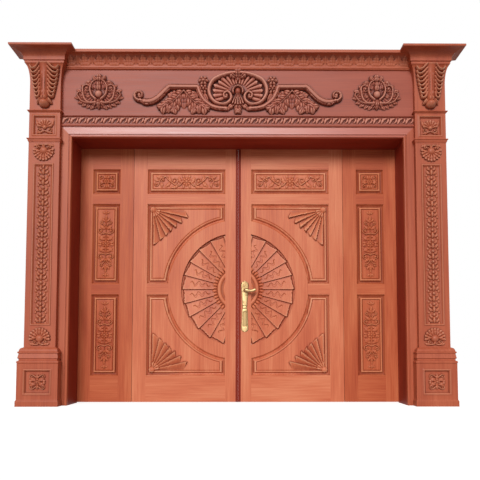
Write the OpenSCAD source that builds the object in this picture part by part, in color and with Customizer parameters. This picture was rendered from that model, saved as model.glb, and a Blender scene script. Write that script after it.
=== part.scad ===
// Carved four-leaf hardwood entrance door with its deep frame, pilasters, frieze and cornice.
// Millimetres. +Z is up, the front faces -Y, X = 0 is the centre line and Z = 0 the floor.
// Left and right are as seen from the front; the right side is drawn and the left is its mirror.

/* [Opening] */
// Clear width between the jambs
opening_w = 2700; // [2500:10:3000]
// Clear height under the head jamb
opening_h = 2170; // [2050:10:2400]
// Depth from the face of the casing to the face of the leaves
reveal = 240; // [120:5:320]

/* [Frame] */
// Thickness of the jamb and head boards
jamb_t = 50; // [40:1:70]
// Thickness of the stops that the leaves close against
stop_t = 14; // [10:1:20]
// Thickness of the casing, the wave band and the frieze board
casing_t = 30; // [24:1:40]
// Width of the casing boards
casing_w = 82; // [60:1:110]
// Width of the bead along the inner edge of the casing
bead_w = 18; // [12:1:26]
// Width and depth of the quirk beside the bead
quirk = 6; // [3:0.5:9]

/* [Pilasters] */
// Width of a pilaster shaft
shaft_w = 248; // [220:2:300]
// How far the shaft stands in front of the casing
shaft_out = 40; // [30:1:60]
// How far the plinth stands out from the shaft, in front and at each side
plinth_out = 36; // [20:1:50]
// Height of the plinth
plinth_h = 330; // [280:5:400]
// Height of the skirting round the foot of the plinth
skirting_h = 51; // [30:1:80]
// How far the skirting stands out from the plinth
skirting_out = 6; // [3:1:12]
// Height of the base mouldings
base_h = 130; // [90:2:180]
// Height of the neck moulding under the capital
neck_h = 38; // [28:1:50]
// Height of the capital block
capital_h = 206; // [180:2:240]
// Height of the ring moulding over the capital
ring_h = 25; // [18:1:36]
// How far the neck and ring mouldings stand out
ring_out = 34; // [20:1:45]
// Height of the crown
crown_h = 114; // [90:2:150]
// How far the crown stands out, in front and at each side
crown_out = 125; // [80:1:160]
// How far the corner block flares out under the crown
flare_out = 34; // [10:1:40]
// Depth of the sunk panels in the plinth, shaft and capital
sunk_d = 12; // [8:1:20]
// Width of the sunk panel in the shaft
vine_w = 136; // [110:1:170]
// Height left plain at each end of the shaft for a carved shell
shell_zone = 186; // [170:2:230]

/* [Head] */
// Height of the wave-carved band
band_h = 98; // [80:1:130]
// Height of the frieze board
frieze_h = 379; // [340:1:440]
// Height of the bed fillets under the cove
bed_h = 31; // [20:1:45]
// Height of the cove and its top fillet
cove_h = 95; // [70:1:130]
// How far the cornice stands out from the casing
cornice_out = 85; // [60:1:110]

/* [Leaves] */
// Thickness of the leaves
leaf_t = 45; // [40:1:55]
// Share of half the opening that an inner leaf takes
inner_share = 0.66; // [0.62:0.005:0.7]
// Gap round the edges of the leaves
edge_gap = 3; // [2:0.5:5]
// Gap between the two inner leaves
meeting_gap = 4; // [3:0.5:6]
// Gap under the leaves
floor_gap = 6; // [3:1:12]
// Width of the stiles
stile_w = 115; // [95:1:130]
// Width of the meeting stiles
meeting_w = 108; // [95:1:125]
// Height of the bottom rail
bottom_rail_h = 219; // [160:2:260]
// Height of the middle rail
mid_rail_h = 90; // [70:2:120]
// Height of the rail under the top panels
upper_rail_h = 88; // [60:2:120]
// Height of the top panels
top_panel_h = 215; // [190:2:260]
// Height of the top rail
top_rail_h = 187; // [120:2:220]
// Outer radius of the arch rail round the sun, as a share of an inner leaf's width
arch_share = 0.667; // [0.6:0.005:0.72]
// Least room between the arch rail and the rails over and under it
arch_room = 60; // [40:5:120]
// Width of the arch rail
arch_w = 110; // [80:2:130]
// Depth of the grooves that hold the panels and tenons
groove_d = 12; // [8:0.5:16]
// Width of the grooves
groove_t = 14; // [10:0.5:18]
// Clearance of a panel or tenon in its groove
fit_gap = 0.2; // [0.1:0.05:0.4]
// Room for the round panel to move in its groove
panel_room = 2; // [1:0.5:4]
// Depth of the valley round the panels, behind the face of the leaf
valley_d = 11; // [7:0.5:14]
// Height of the raised panel fields over that valley
field_h = 8; // [4:0.5:10]
// Width of the mouldings round the panels
moulding_w = 46; // [36:1:54]
// Width of a meeting bead
meeting_bead_w = 20; // [14:1:28]
// Thickness of a meeting bead
meeting_bead_t = 8; // [5:0.5:10]

/* [Hinges] */
// Number of hinges in a line
hinge_count = 4; // [3:1:5]
// Height of a hinge
hinge_h = 120; // [90:5:150]
// Distance of the end hinges from the ends of the leaf
hinge_inset = 180; // [140:5:260]
// Radius of a hinge knuckle
knuckle_r = 7; // [6:0.25:8]
// Radius of a hinge pin
pin_r = 4; // [3:0.25:4.5]
// Running clearance of pins and shafts
run_gap = 0.06; // [0.02:0.02:0.1]
// Thickness of a hinge flap
flap_t = 2.5; // [2:0.25:3]
// Width of a hinge flap
flap_w = 25; // [18:1:26]

/* [Lock and handles] */
// Height of the lever over the floor
lever_z = 945; // [900:5:1000]
// Height of the key cylinder and thumb turn over the floor
turn_z = 778; // [760:2:800]
// Thickness of the handle plates
plate_t = 5; // [3:0.5:7]
// Width of the handle plates
plate_w = 66; // [56:1:74]
// Length of a lever from its axis
lever_l = 96; // [80:1:105]
// How far a lever stands out from the leaf
lever_out = 58; // [50:1:70]
// Radius of the lever necks
neck_r = 10; // [8:0.5:11]
// Side of the square spindle
spindle = 8; // [6:0.5:9]
// Thickness of the lock case
case_t = 18; // [16:0.5:20]
// Width of the lock case
case_w = 84; // [80:1:88]
// Travel of the spring latch
latch_travel = 11; // [8:0.5:12]
// Travel of the dead bolt
bolt_travel = 14; // [10:0.5:15]
// Clearance round the latch and the bolt
bolt_gap = 0.3; // [0.2:0.05:0.5]

/* [Hidden] */
$fn = 48;

wood = "#b4604a";
leaf_wood = "#c96f50";
dark_wood = "#7a2a20";
brass = "#b08d4a";
steel = "#9a9a98";

// Depths: the model is centred front to back between the crowns and the rear lever
crown_reach = shaft_out + crown_out;
total_depth = crown_reach + reveal + leaf_t + lever_out;
face_y = crown_reach - total_depth / 2;
wall_y = face_y + casing_t;
leaf_y = face_y + reveal;
back_y = leaf_y + leaf_t;
shaft_y = face_y - shaft_out;

// Heights of the frame
band_z = opening_h + casing_w;
frieze_z = band_z + band_h;
bed_z = frieze_z + frieze_h;
top_z = bed_z + bed_h + cove_h;
crown_z = top_z - crown_h;
capital_z = frieze_z - capital_h;
shaft_z0 = plinth_h + base_h;
shaft_z1 = capital_z - neck_h;

// Widths of the frame
half_opening = opening_w / 2;
shaft_x0 = half_opening + casing_w;
shaft_x = shaft_x0 + shaft_w / 2;

// Leaves, as distances from the centre line and heights over the floor
leaf_z0 = floor_gap;
leaf_z1 = opening_h + stop_t - edge_gap;
inner_w = inner_share * half_opening;
inner_x0 = meeting_gap / 2;
inner_x1 = inner_x0 + inner_w;
outer_x0 = inner_x1 + edge_gap;
outer_x1 = half_opening + stop_t - edge_gap;
low_z0 = leaf_z0 + bottom_rail_h;
big_panel_h = (leaf_z1 - low_z0 - mid_rail_h - upper_rail_h - top_panel_h - top_rail_h) / 2;
low_z1 = low_z0 + big_panel_h;
tall_z0 = low_z1 + mid_rail_h;
tall_z1 = tall_z0 + big_panel_h;
small_z0 = tall_z1 + upper_rail_h;
small_z1 = small_z0 + top_panel_h;
sun_z = low_z1 + mid_rail_h / 2;
arch_r = min(arch_share * inner_w, tall_z1 - sun_z - arch_room);
sun_r = arch_r - arch_w;
field_x0 = inner_x0 + meeting_w;
field_x1 = inner_x1 - stile_w;
groove_y = leaf_y + leaf_t / 2;
field_y = leaf_y + valley_d - field_h;

// Hinges
axis_y = back_y + knuckle_r + 0.3;
jamb_axis_x = half_opening + stop_t - edge_gap / 2;
seam_axis_x = inner_x1 + edge_gap / 2;

// Lock
lock_x = inner_x0 + meeting_w / 2;
case_z0 = turn_z - 70;
case_z1 = lever_z + 70;
latch_h = 24;
latch_t = 11;
latch_l = 40;
bolt_h = 32;
bolt_t = 12;
bolt_l = 50;
strike_t = 2.5;
strike_w = 24;

// How deep a moulding is let into the face that carries it
let_in = 1;
// Where along a petal its belly lies, and how full petals fill a fan
belly = 0.66;
fullness = 0.94;
big = 4000;

// Points on an arc of radius r
function arc(r, a0, a1, n) = [for (i = [0:n]) let(a = a0 + (a1 - a0) * i / n) r * [cos(a), sin(a)]];
function shifted(path, v) = [for (p = path) p + v];
function flipped(path) = [for (i = [len(path) - 1:-1:0]) [path[i][0], -path[i][1]]];
function rectangle(x0, z0, x1, z1) = [[x0, z0], [x1, z0], [x1, z1], [x0, z1]];
// Unit normal on the left of the way from p to q
function left_of(p, q) = let(d = (q - p) / norm(q - p)) [-d[1], d[0]];
// Mitre direction at corner i of a closed path
function mitre(path, i) =
    let(n = len(path), p = path[i],
        a = left_of(path[(i + n - 1) % n], p), b = left_of(p, path[(i + 1) % n]))
    (a + b) / (1 + a * b);
function inset(path, d) = [for (i = [0:len(path) - 1]) path[i] + d * mitre(path, i)];
// A smooth curve through a few points, with n steps between each two
function spline(pts, n) =
    [for (i = [0:len(pts) - 2]) for (k = [0:n - 1])
        let(a = pts[max(i - 1, 0)], b = pts[i], c = pts[i + 1], d = pts[min(i + 2, len(pts) - 1)], t = k / n)
        0.5 * (2 * b + (c - a) * t + (2 * a - 5 * b + 4 * c - d) * t * t
            + (3 * b - a - 3 * c + d) * t * t * t),
     pts[len(pts) - 1]];
// A spiral about c, from radius r0 at angle a0 to radius r1 at angle a1
function spiral(c, r0, r1, a0, a1, n) =
    [for (i = [0:n]) let(t = i / n, a = a0 + (a1 - a0) * t) c + (r0 + (r1 - r0) * t) * [cos(a), sin(a)]];

// Draws a right-hand piece, or its mirror image on the left
module sided(left) mirror([left ? 1 : 0, 0, 0]) children();
// Carries a drawing of x and height, with its relief along z, to a front face at depth y
module at_face(x, y, z) translate([x, y, z]) rotate([90, 0, 0]) children();
// Extrudes a drawing of height and depth along x
module along_x(length) rotate([0, -90, 0]) linear_extrude(length, center = true) children();
// Extrudes a drawing of x and height from depth y0 to depth y1
module between_y(y0, y1) translate([0, y1, 0]) rotate([90, 0, 0]) linear_extrude(y1 - y0) children();
module block(x0, x1, y0, y1, z0, z1) translate([x0, y0, z0]) cube([x1 - x0, y1 - y0, z1 - z0]);

// Closed moulding round a path: the profile is a list of [distance in from the path, height]
module moulding_loop(path, profile) {
    n = len(path);
    m = len(profile);
    points = [for (i = [0:n - 1]) for (s = profile) concat(path[i] + s[0] * mitre(path, i), [s[1]])];
    faces = [for (i = [0:n - 1]) for (j = [0:m - 1]) let(k = (i + 1) % n, l = (j + 1) % m)
        [i * m + j, i * m + l, k * m + l, k * m + j]];
    polyhedron(points, faces);
}

// Solid lofted through rings of a path: each ring is [distance in from the path, height], from the rear up
module lofted(path, rings) {
    n = len(path);
    m = len(rings);
    points = [for (s = rings) for (i = [0:n - 1]) concat(path[i] + s[0] * mitre(path, i), [s[1]])];
    walls = [for (j = [0:m - 2]) for (i = [0:n - 1]) let(k = (i + 1) % n)
        [j * n + i, j * n + n + i, j * n + n + k, j * n + k]];
    caps = [[for (i = [0:n - 1]) i], [for (i = [n - 1:-1:0]) (m - 1) * n + i]];
    polyhedron(points, concat(walls, caps));
}

// Convex solid through the given points
module solid_through(points) hull() polyhedron(points, [[for (i = [0:len(points) - 1]) i]]);

// Carved petal along +y: narrow at the base, widest past the middle, rising to a ridge
module petal(length, base_w, belly_w, height)
    solid_through([
        [-base_w / 2, 0, 0], [base_w / 2, 0, 0], [-belly_w / 2, belly * length, 0],
        [belly_w / 2, belly * length, 0], [0, length, 0], [0, belly * length, height]
    ]);

// Low button with six sides
module button(r, height)
    solid_through([for (s = [[r, 0], [r * 0.6, height]]) for (p = arc(s[0], 0, 300, 5)) concat(p, [s[1]])]);

// Pleated fan from angle a0 on: blades between two radii, each high along its first edge and low along its last
module pleated_fan(count, a0, step, r0, r1, low, high) {
    points = [for (i = [0:count]) for (r = [r0, r1]) for (h = [0, low, high])
        [r * cos(a0 + i * step), r * sin(a0 + i * step), h]];
    blades = [for (i = [0:count - 1]) let(k = 6 * i, n = k + 6) each [
        [k + 2, n + 1, n + 4, k + 5],
        [k, k + 3, n + 3, n],
        [k + 3, k + 4, n + 4, n + 3], [k + 4, k + 5, n + 4],
        [k, n, n + 1, k + 1], [k + 1, n + 1, k + 2]
    ]];
    steps = [for (i = [1:count - 1]) let(k = 6 * i) [k + 1, k + 2, k + 5, k + 4]];
    last = 6 * count;
    ends = [[0, 1, 4, 3], [1, 2, 5, 4], [last, last + 3, last + 4, last + 1]];
    polyhedron(points, concat(blades, steps, ends));
}

// Rounded carved band along an open path, tapering to the given shares of its width at start and end
module strand(path, width, height, start = 0.4, finish = 0.3) {
    n = len(path);
    section = [[-0.5, 0], [-0.22, 1], [0.22, 1], [0.5, 0]];
    m = len(section);
    points = [for (i = [0:n - 1]) let(
            side = left_of(path[max(i - 1, 0)], path[min(i + 1, n - 1)]),
            t = i / (n - 1),
            share = min(1, start + 3 * t * (1 - start), finish + 3 * (1 - t) * (1 - finish)))
        for (s = section) concat(path[i] + side * s[0] * width * share, [s[1] * height * share])];
    walls = [for (i = [0:n - 2]) for (j = [0:m - 1]) let(l = (j + 1) % m)
        [i * m + j, i * m + l, i * m + m + l, i * m + m + j]];
    caps = [[for (j = [m - 1:-1:0]) j], [for (j = [0:m - 1]) (n - 1) * m + j]];
    polyhedron(points, concat(walls, caps));
}

// Petals fanned about +y between two radii
module fan(count, spread, r0, r1, height) {
    step = spread / (count - 1);
    belly_r = r0 + belly * (r1 - r0);
    for (i = [0:count - 1])
        rotate(-spread / 2 + i * step)
            translate([0, r0, 0])
                petal(r1 - r0, fullness * 2 * r0 * tan(step / 2), fullness * 2 * belly_r * tan(step / 2), height);
}

module rosette(count, r, height) {
    fan(count, 360 - 360 / count, r * 0.32, r, height);
    button(r * 0.29, height * 1.2);
}

module mirrored_pair() {
    children();
    mirror([1, 0, 0]) children();
}

// Moulding returned round three sides of a pilaster: outline points are [stand-out, height], from the foot up
module returned_moulding(outline) {
    z0 = outline[0][1];
    z1 = outline[len(outline) - 1][1];
    side = [for (p = outline) [shaft_w / 2 + p[0], p[1]]];
    intersection() {
        translate([shaft_x, 0, 0])
            between_y(shaft_y - big, wall_y)
                polygon(concat(side, [for (i = [len(side) - 1:-1:0]) [-side[i][0], side[i][1]]]));
        along_x(big)
            polygon(concat([[z0, wall_y]], [for (p = outline) [p[1], shaft_y - p[0]]], [[z1, wall_y]]));
    }
}

// Cuts the room that the casing and the head take beside a pilaster
module beside_casing() {
    difference() {
        children();
        block(0, shaft_x0, face_y, wall_y + big, -big, big);
    }
}

// Frame boards

module jamb(left) sided(left) color(dark_wood)
    block(half_opening + stop_t, half_opening + jamb_t, wall_y, back_y, 0, opening_h + stop_t);

module head_jamb() color(dark_wood)
    block(-half_opening - jamb_t, half_opening + jamb_t, wall_y, back_y, opening_h + stop_t, opening_h + jamb_t);

// Boards planted on the jambs, which the leaves close against
module stop(left) sided(left) color(dark_wood)
    block(half_opening, half_opening + stop_t, wall_y, leaf_y - fit_gap, 0, opening_h);

module head_stop() color(dark_wood)
    block(-half_opening - stop_t, half_opening + stop_t, wall_y, leaf_y - fit_gap, opening_h, opening_h + stop_t);

// Casing section: distance out from the opening, and depth behind the face
casing_section = concat(
    [[casing_w, casing_t], [0, casing_t]],
    [for (p = arc(1, 180, 0, 10)) [bead_w / 2 * (1 + p[0]), quirk * (1 - p[1])]],
    [[bead_w + quirk, quirk], [bead_w + quirk, 0], [casing_w, 0]]
);

module casing(left) sided(left) color(wood)
    intersection() {
        translate([half_opening, face_y, 0]) linear_extrude(band_z) polygon(casing_section);
        between_y(face_y - big, wall_y + big)
            polygon([[half_opening, 0], [shaft_x0, 0], [shaft_x0, band_z], [half_opening, opening_h]]);
    }

module head_casing() color(wood)
    intersection() {
        translate([0, face_y, opening_h]) along_x(2 * shaft_x0) polygon(casing_section);
        between_y(face_y - big, wall_y + big)
            polygon([[-shaft_x0, band_z], [-half_opening, opening_h], [half_opening, opening_h],
                     [shaft_x0, band_z]]);
    }

// Pilasters

module plinth(left) sided(left) color(wood) {
    width = shaft_w + 2 * plinth_out;
    square_w = width * 0.62;
    square_h = (plinth_h - skirting_h) * 0.64;
    square_z = skirting_h + (plinth_h - skirting_h) / 2;
    frame_w = square_h * 0.055;
    rise = sunk_d * 1.25;
    front = shaft_y - plinth_out;
    path = rectangle(-square_w / 2, -square_h / 2, square_w / 2, square_h / 2);
    union() {
        difference() {
            beside_casing() returned_moulding([
                [plinth_out + skirting_out, 0], [plinth_out + skirting_out, skirting_h * 0.85],
                [plinth_out, skirting_h], [plinth_out, plinth_h]
            ]);
            block(shaft_x - square_w / 2, shaft_x + square_w / 2, front - big, front + sunk_d,
                square_z - square_h / 2, square_z + square_h / 2);
        }
        at_face(shaft_x, front + sunk_d, square_z) {
            moulding_loop(path, [[0, -let_in], [0, rise], [frame_w, rise], [2 * frame_w, rise / 4],
                                 [2 * frame_w, -let_in]]);
            rosette(6, square_h * 0.3, sunk_d);
            for (a = [45:90:315]) rotate(a) translate([0, square_h * 0.28, 0])
                petal(square_h * 0.26, square_h * 0.05, square_h * 0.17, sunk_d * 0.8);
        }
    }
}

// Bead, sloping face between two fillets, and a quarter round up to the shaft
module base_moulding(left) sided(left) color(wood) {
    step = plinth_out / 5;
    proud = plinth_out - step / 3;
    held = proud - step;
    foot = step / 2;
    beside_casing() translate([0, 0, plinth_h]) returned_moulding(concat(
        [[proud, 0]],
        [for (p = arc(1, -90, 90, 6)) [proud + step * 0.7 * p[0], base_h * (0.1 + 0.08 * p[1])]],
        [[held, base_h * 0.2], [held, base_h * 0.3], [proud, base_h * 0.34],
         [held, base_h * 0.62], [proud, base_h * 0.66], [proud, base_h * 0.73]],
        [for (p = arc(1, 0, 90, 8)) [foot + (held - foot) * p[0], base_h * (0.75 + 0.23 * p[1])]],
        [[foot, base_h]]
    ));
}

module pilaster(left) sided(left) color(wood) {
    shell_r = shell_zone * 0.72;
    panel = rectangle(-vine_w / 2, shaft_z0 + shell_zone, vine_w / 2, shaft_z1 - shell_zone);
    union() {
        difference() {
            block(shaft_x0, shaft_x0 + shaft_w, shaft_y, wall_y, shaft_z0, shaft_z1);
            translate([shaft_x, 0, 0]) between_y(shaft_y - big, shaft_y + sunk_d) polygon(panel);
        }
        at_face(shaft_x, shaft_y, 0)
            moulding_loop(panel, [[-9, -let_in], [-9, 3], [-4, 6], [0.5, 3], [0.5, -let_in - 1]]);
        at_face(shaft_x, shaft_y + sunk_d, shaft_z0 + shell_zone + 8)
            husk_chain(shaft_z1 - shaft_z0 - 2 * shell_zone - 16);
        at_face(shaft_x, shaft_y, shaft_z0 + 12) pilaster_shell(shell_r);
        at_face(shaft_x, shaft_y, shaft_z1 - 12) rotate(180) pilaster_shell(shell_r);
    }
}

// Shell fanned about +y, with two volutes and a bud at its foot
module pilaster_shell(r) {
    translate([0, r * 0.34, 0]) {
        fan(5, 170, r * 0.24, r * 0.68, 15);
        button(r * 0.22, 17);
    }
    mirrored_pair() translate([r * 0.34, r * 0.12, 0]) button(r * 0.15, 12);
}

// Chain of husks: each a bud between two leaves
module husk_chain(height) {
    count = round(height / 88);
    pitch = height / count;
    for (i = [0:count - 1]) translate([0, pitch * i, 0]) {
        petal(pitch * 0.98, 8, vine_w * 0.18, 15);
        mirrored_pair() translate([vine_w * 0.1, pitch * 0.1, 0])
            rotate(-30) petal(pitch * 0.84, 8, vine_w * 0.2, 12);
    }
}

module capital(left) sided(left) color(wood) {
    neck_z = capital_z - neck_h;
    sunk_w = shaft_w * 0.7;
    sunk_h = capital_h * 0.74;
    middle = capital_z + capital_h / 2;
    frame_w = sunk_h * 0.045;
    rise = sunk_d * 1.25;
    path = rectangle(-sunk_w / 2, -sunk_h / 2, sunk_w / 2, sunk_h / 2);
    union() {
        difference() {
            beside_casing() returned_moulding(concat(
                [[2, neck_z], [2, neck_z + neck_h * 0.12]],
                [for (p = arc(1, -90, 0, 5))
                    [ring_out * 0.4 * (0.2 + p[0]), neck_z + neck_h * (0.5 + 0.36 * p[1])]],
                [[ring_out, neck_z + neck_h * 0.6], [ring_out, neck_z + neck_h * 0.85], [0, capital_z],
                 [0, frieze_z], [ring_out * 0.7, frieze_z + ring_h * 0.35], [ring_out, frieze_z + ring_h * 0.5],
                 [ring_out, frieze_z + ring_h * 0.8], [2, frieze_z + ring_h]]
            ));
            block(shaft_x - sunk_w / 2, shaft_x + sunk_w / 2, shaft_y - big, shaft_y + sunk_d,
                middle - sunk_h / 2, middle + sunk_h / 2);
        }
        at_face(shaft_x, shaft_y + sunk_d, middle) {
            moulding_loop(path, [[0, -let_in], [0, rise], [frame_w, rise], [2 * frame_w, rise / 4],
                                 [2 * frame_w, -let_in]]);
            translate([0, -sunk_h * 0.2, 0]) {
                fan(5, 170, 15, sunk_h * 0.54, 14);
                button(14, 16);
            }
        }
    }
}

// Block that flares out under the crown
module flared_block() {
    z0 = frieze_z + ring_h;
    rise = (crown_z - z0) * 0.42;
    beside_casing() returned_moulding(concat(
        [[0, z0]],
        [for (p = arc(1, 180, 100, 5)) [flare_out * (1 + p[0]), crown_z - rise + rise * p[1] / sin(100)]]
    ));
}

// Hanging acanthus leaf from its top down: paired lobes on a midrib, with a rolled tip
module acanthus(height, half) {
    lobes = 5;
    strand([[0, -height * 0.005], [0, -height * 0.84]], half * 0.44, 40, 0.9, 0.9);
    mirrored_pair() for (i = [0:lobes - 1]) let(t = i / (lobes - 1))
        translate([half * 0.2, -height * (0.17 + 0.57 * t), 0])
            rotate(-66 - 62 * t) petal(half * (0.8 - 0.3 * t), 30, height * 0.15, 42 - 8 * t);
    translate([0, -height * 0.86, 0]) button(half * 0.46, 54);
}

module corner_block(left) sided(left) color(wood)
    union() {
        flared_block();
        at_face(shaft_x, shaft_y + let_in, crown_z) acanthus(crown_z - frieze_z - ring_h, shaft_w * 0.44);
    }

module crown_solid() beside_casing() returned_moulding(concat(
    [[flare_out - 6, crown_z], [flare_out, crown_z + 6], [flare_out, crown_z + 22], [flare_out + 8, crown_z + 26],
     [flare_out + 8, crown_z + 42]],
    [for (p = arc(1, 180, 90, 8))
        [flare_out + 8 + (crown_out - flare_out - 12) * (1 + p[0]), crown_z + 46 + (crown_h - 64) * p[1]]],
    [[crown_out, top_z - 14], [crown_out, top_z]]
));

module crown(left) sided(left) color(wood) crown_solid();

// Head of the frame

module wave_band() color(wood) {
    strip_z0 = band_h * 0.2;
    strip_z1 = band_h * 0.86;
    middle = (strip_z0 + strip_z1) / 2;
    count = round(2 * shaft_x0 / 108);
    pitch = 2 * shaft_x0 / count;
    union() {
        translate([0, face_y, band_z]) along_x(2 * shaft_x0) polygon([
            [0, casing_t], [0, -6], [strip_z0 * 0.5, -10], [strip_z0, -2], [strip_z0, 2],
            [strip_z1, 2], [strip_z1, -4], [band_h * 0.93, -10], [band_h, -10], [band_h, casing_t]
        ]);
        at_face(-shaft_x0, face_y + 2, band_z + middle)
            for (i = [0:count - 1]) translate([pitch * (i + 0.5), 0, 0]) {
                translate([-pitch * 0.42, -band_h * 0.2, 0]) rotate(-62) petal(pitch * 0.8, 6, 26, 8);
                translate([pitch * 0.42, band_h * 0.16, 0]) rotate(118) petal(pitch * 0.5, 5, 18, 7);
            }
    }
}

module frieze() color(wood)
    union() {
        block(-shaft_x0, shaft_x0, face_y, wall_y, frieze_z, bed_z);
        at_face(0, face_y + let_in, frieze_z + frieze_h / 2) {
            crest();
            mirrored_pair() translate([shaft_x0 * 0.79, 0, 0]) cartouche(frieze_h * 0.42);
        }
    }

module cornice() color(wood) {
    cove_z = bed_z + bed_h;
    rise = cove_h * 0.76;
    reach = cornice_out - 16;
    row = 2 * (shaft_x0 - crown_out);
    count = round(row / 118);
    pitch = row / count;
    difference() {
        union() {
            translate([0, face_y, 0]) along_x(2 * shaft_x0) polygon(concat(
                [[bed_z, casing_t], [bed_z, -4], [bed_z + bed_h * 0.4, -12], [bed_z + bed_h * 0.45, -16],
                 [cove_z - 4, -16], [cove_z, -12]],
                [for (p = arc(1, 180, 90, 6)) [cove_z + rise * p[1], -12 - (reach - 12) * (1 + p[0])]],
                [[cove_z + rise, -cornice_out], [top_z, -cornice_out], [top_z, casing_t]]
            ));
            for (i = [0:count - 1])
                translate([-row / 2 + pitch * (i + 0.5), face_y - 14, cove_z + 2])
                    rotate([118, 0, 0]) petal(rise * 1.12, pitch * 0.3, pitch * 0.62, 16);
        }
        mirrored_pair() crown_solid();
        mirrored_pair() flared_block();
    }
}

// Scrolled crest: a shell between two scrolls, and at each side a bar with a scrolled end, flowers and leaves
module crest() {
    half = shaft_x0 * 0.6;
    u = frieze_h / 100;
    bar = concat(
        spline([[half - 5 * u, -8 * u], [half - 22 * u, -25 * u], [half - 47 * u, -19 * u],
                [half - 70 * u, 8 * u]], 2),
        [[92 * u, 11 * u]],
        spline([[82 * u, -4 * u], [61 * u, -27 * u], [24 * u, -36 * u]], 2));
    scroll = concat(
        spline([[22 * u, 37 * u], [52 * u, 26 * u], [54 * u, 0]], 2),
        spiral([27 * u, -7 * u], 26 * u, 6 * u, -30, -300, 6));
    translate([0, 6 * u, 0]) fan(7, 180, 17 * u, 42 * u, 9 * u);
    button(15 * u, 12 * u);
    translate([0, -17 * u, 0]) rotate(180) fan(3, 60, 3 * u, 24 * u, 7 * u);
    mirrored_pair() {
        strand(bar, 10 * u, 8 * u, 0.6, 0.4);
        translate([half - 11 * u, -2 * u, 0]) button(9 * u, 8 * u);
        strand(scroll, 9 * u, 9 * u, 0.5, 0.7);
        for (i = [0:4])
            translate([(91 + 15 * i) * u, (-23 - i) * u, 0])
                rotate(30 - 24 * i) petal((32 - 1.6 * i) * u, 5 * u, 13 * u, 6 * u);
        for (i = [0, 1]) translate([72 * u, (27 - 24 * i) * u, 0]) rosette(5, 10 * u, 5.5 * u);
    }
}

// Palmette cartouche: ribs over a boss, two scrolls and a skirt of leaves
module cartouche(r) {
    translate([0, -r * 0.2, 0]) {
        fan(5, 84, r * 0.32, r * 1.14, r * 0.17);
        button(r * 0.28, r * 0.23);
        rotate(180) fan(7, 180, r * 0.32, r * 0.86, r * 0.13);
    }
    mirrored_pair()
        strand(concat(
            [[r * 0.5, r * 0.62], [r * 0.9, r * 0.42]],
            spiral([r * 0.84, 0], r * 0.3, r * 0.12, 40, -250, 5)), r * 0.19, r * 0.18, 0.5, 0.7);
}

// Leaves: stiles and rails are grooved, and panels and stub tenons sit in the grooves

module groove_cut(x0, x1, z0, z1) block(x0, x1, groove_y - groove_t / 2, groove_y + groove_t / 2, z0, z1);
module tenon(x0, x1, z0, z1)
    block(x0, x1, groove_y - groove_t / 2 + fit_gap, groove_y + groove_t / 2 - fit_gap, z0, z1);

// A pair of stiles grooved along the edges that face each other
module stile_pair(x0, w0, x1, w1) {
    difference() {
        block(x0, x0 + w0, leaf_y, back_y, leaf_z0, leaf_z1);
        groove_cut(x0 + w0 - groove_d, x0 + w0 + 1, leaf_z0 - 1, leaf_z1 + 1);
    }
    difference() {
        block(x1 - w1, x1, leaf_y, back_y, leaf_z0, leaf_z1);
        groove_cut(x1 - w1 - 1, x1 - w1 + groove_d, leaf_z0 - 1, leaf_z1 + 1);
    }
}

// A rail between stiles at x0 and x1, with stub tenons and grooves for the panels below and above it
module rail(x0, x1, z0, z1, panel_below, panel_above) {
    reach = groove_d - fit_gap;
    difference() {
        union() {
            block(x0, x1, leaf_y, back_y, z0, z1);
            tenon(x0 - reach, x1 + reach, z0, z1);
        }
        if (panel_below) groove_cut(x0 - groove_d - 1, x1 + groove_d + 1, z0 - 1, z0 + groove_d);
        if (panel_above) groove_cut(x0 - groove_d - 1, x1 + groove_d + 1, z1 - groove_d, z1 + 1);
    }
}

// Rings of a panel from its rear: a plain field, the tongue, then a valley and a bead round the raised front field
panel_rings = let(
        tongue_low = -(leaf_t + groove_t) / 2 + fit_gap,
        tongue_high = -(leaf_t - groove_t) / 2 - fit_gap,
        tongue_in = fit_gap - groove_d)
    [
        [fit_gap, valley_d - leaf_t], [fit_gap, tongue_low], [tongue_in, tongue_low], [tongue_in, tongue_high],
        [fit_gap, tongue_high], [fit_gap, -1], [moulding_w * 0.42, -valley_d],
        [moulding_w * 0.6, -valley_d], [moulding_w * 0.86, -0.5], [moulding_w, field_h - valley_d]
    ];

module panel_board(path) at_face(0, leaf_y, 0) lofted(path, panel_rings);

// Carries a carving to the front field of the panels
module on_field(x, z) at_face(x, field_y + let_in, z) children();

module outer_stiles(left) sided(left) color(leaf_wood) stile_pair(outer_x0, stile_w, outer_x1, stile_w);

module outer_rails(left) sided(left) color(leaf_wood) {
    x0 = outer_x0 + stile_w;
    x1 = outer_x1 - stile_w;
    rail(x0, x1, leaf_z0, low_z0, false, true);
    rail(x0, x1, low_z1, tall_z0, true, true);
    rail(x0, x1, tall_z1, small_z0, true, true);
    rail(x0, x1, small_z1, leaf_z1, true, false);
}

// Upright spray: paired leaves along a stem, between flowers
module leaf_spray(height, width) {
    pairs = 4;
    step = height * 0.76 / pairs;
    for (i = [0:pairs - 1]) translate([0, step * (i - pairs / 2 + (i < pairs / 2 ? 0.1 : 0.9)), 0])
        mirrored_pair() translate([4, 0, 0])
            rotate(i < pairs / 2 ? -130 : -50) petal(width * 0.56, 8, step * 0.34, 8);
    for (s = [-1, 1]) translate([0, s * height * 0.45, 0]) button(width * 0.15, 9);
    rosette(6, width * 0.27, 9);
}

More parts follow.
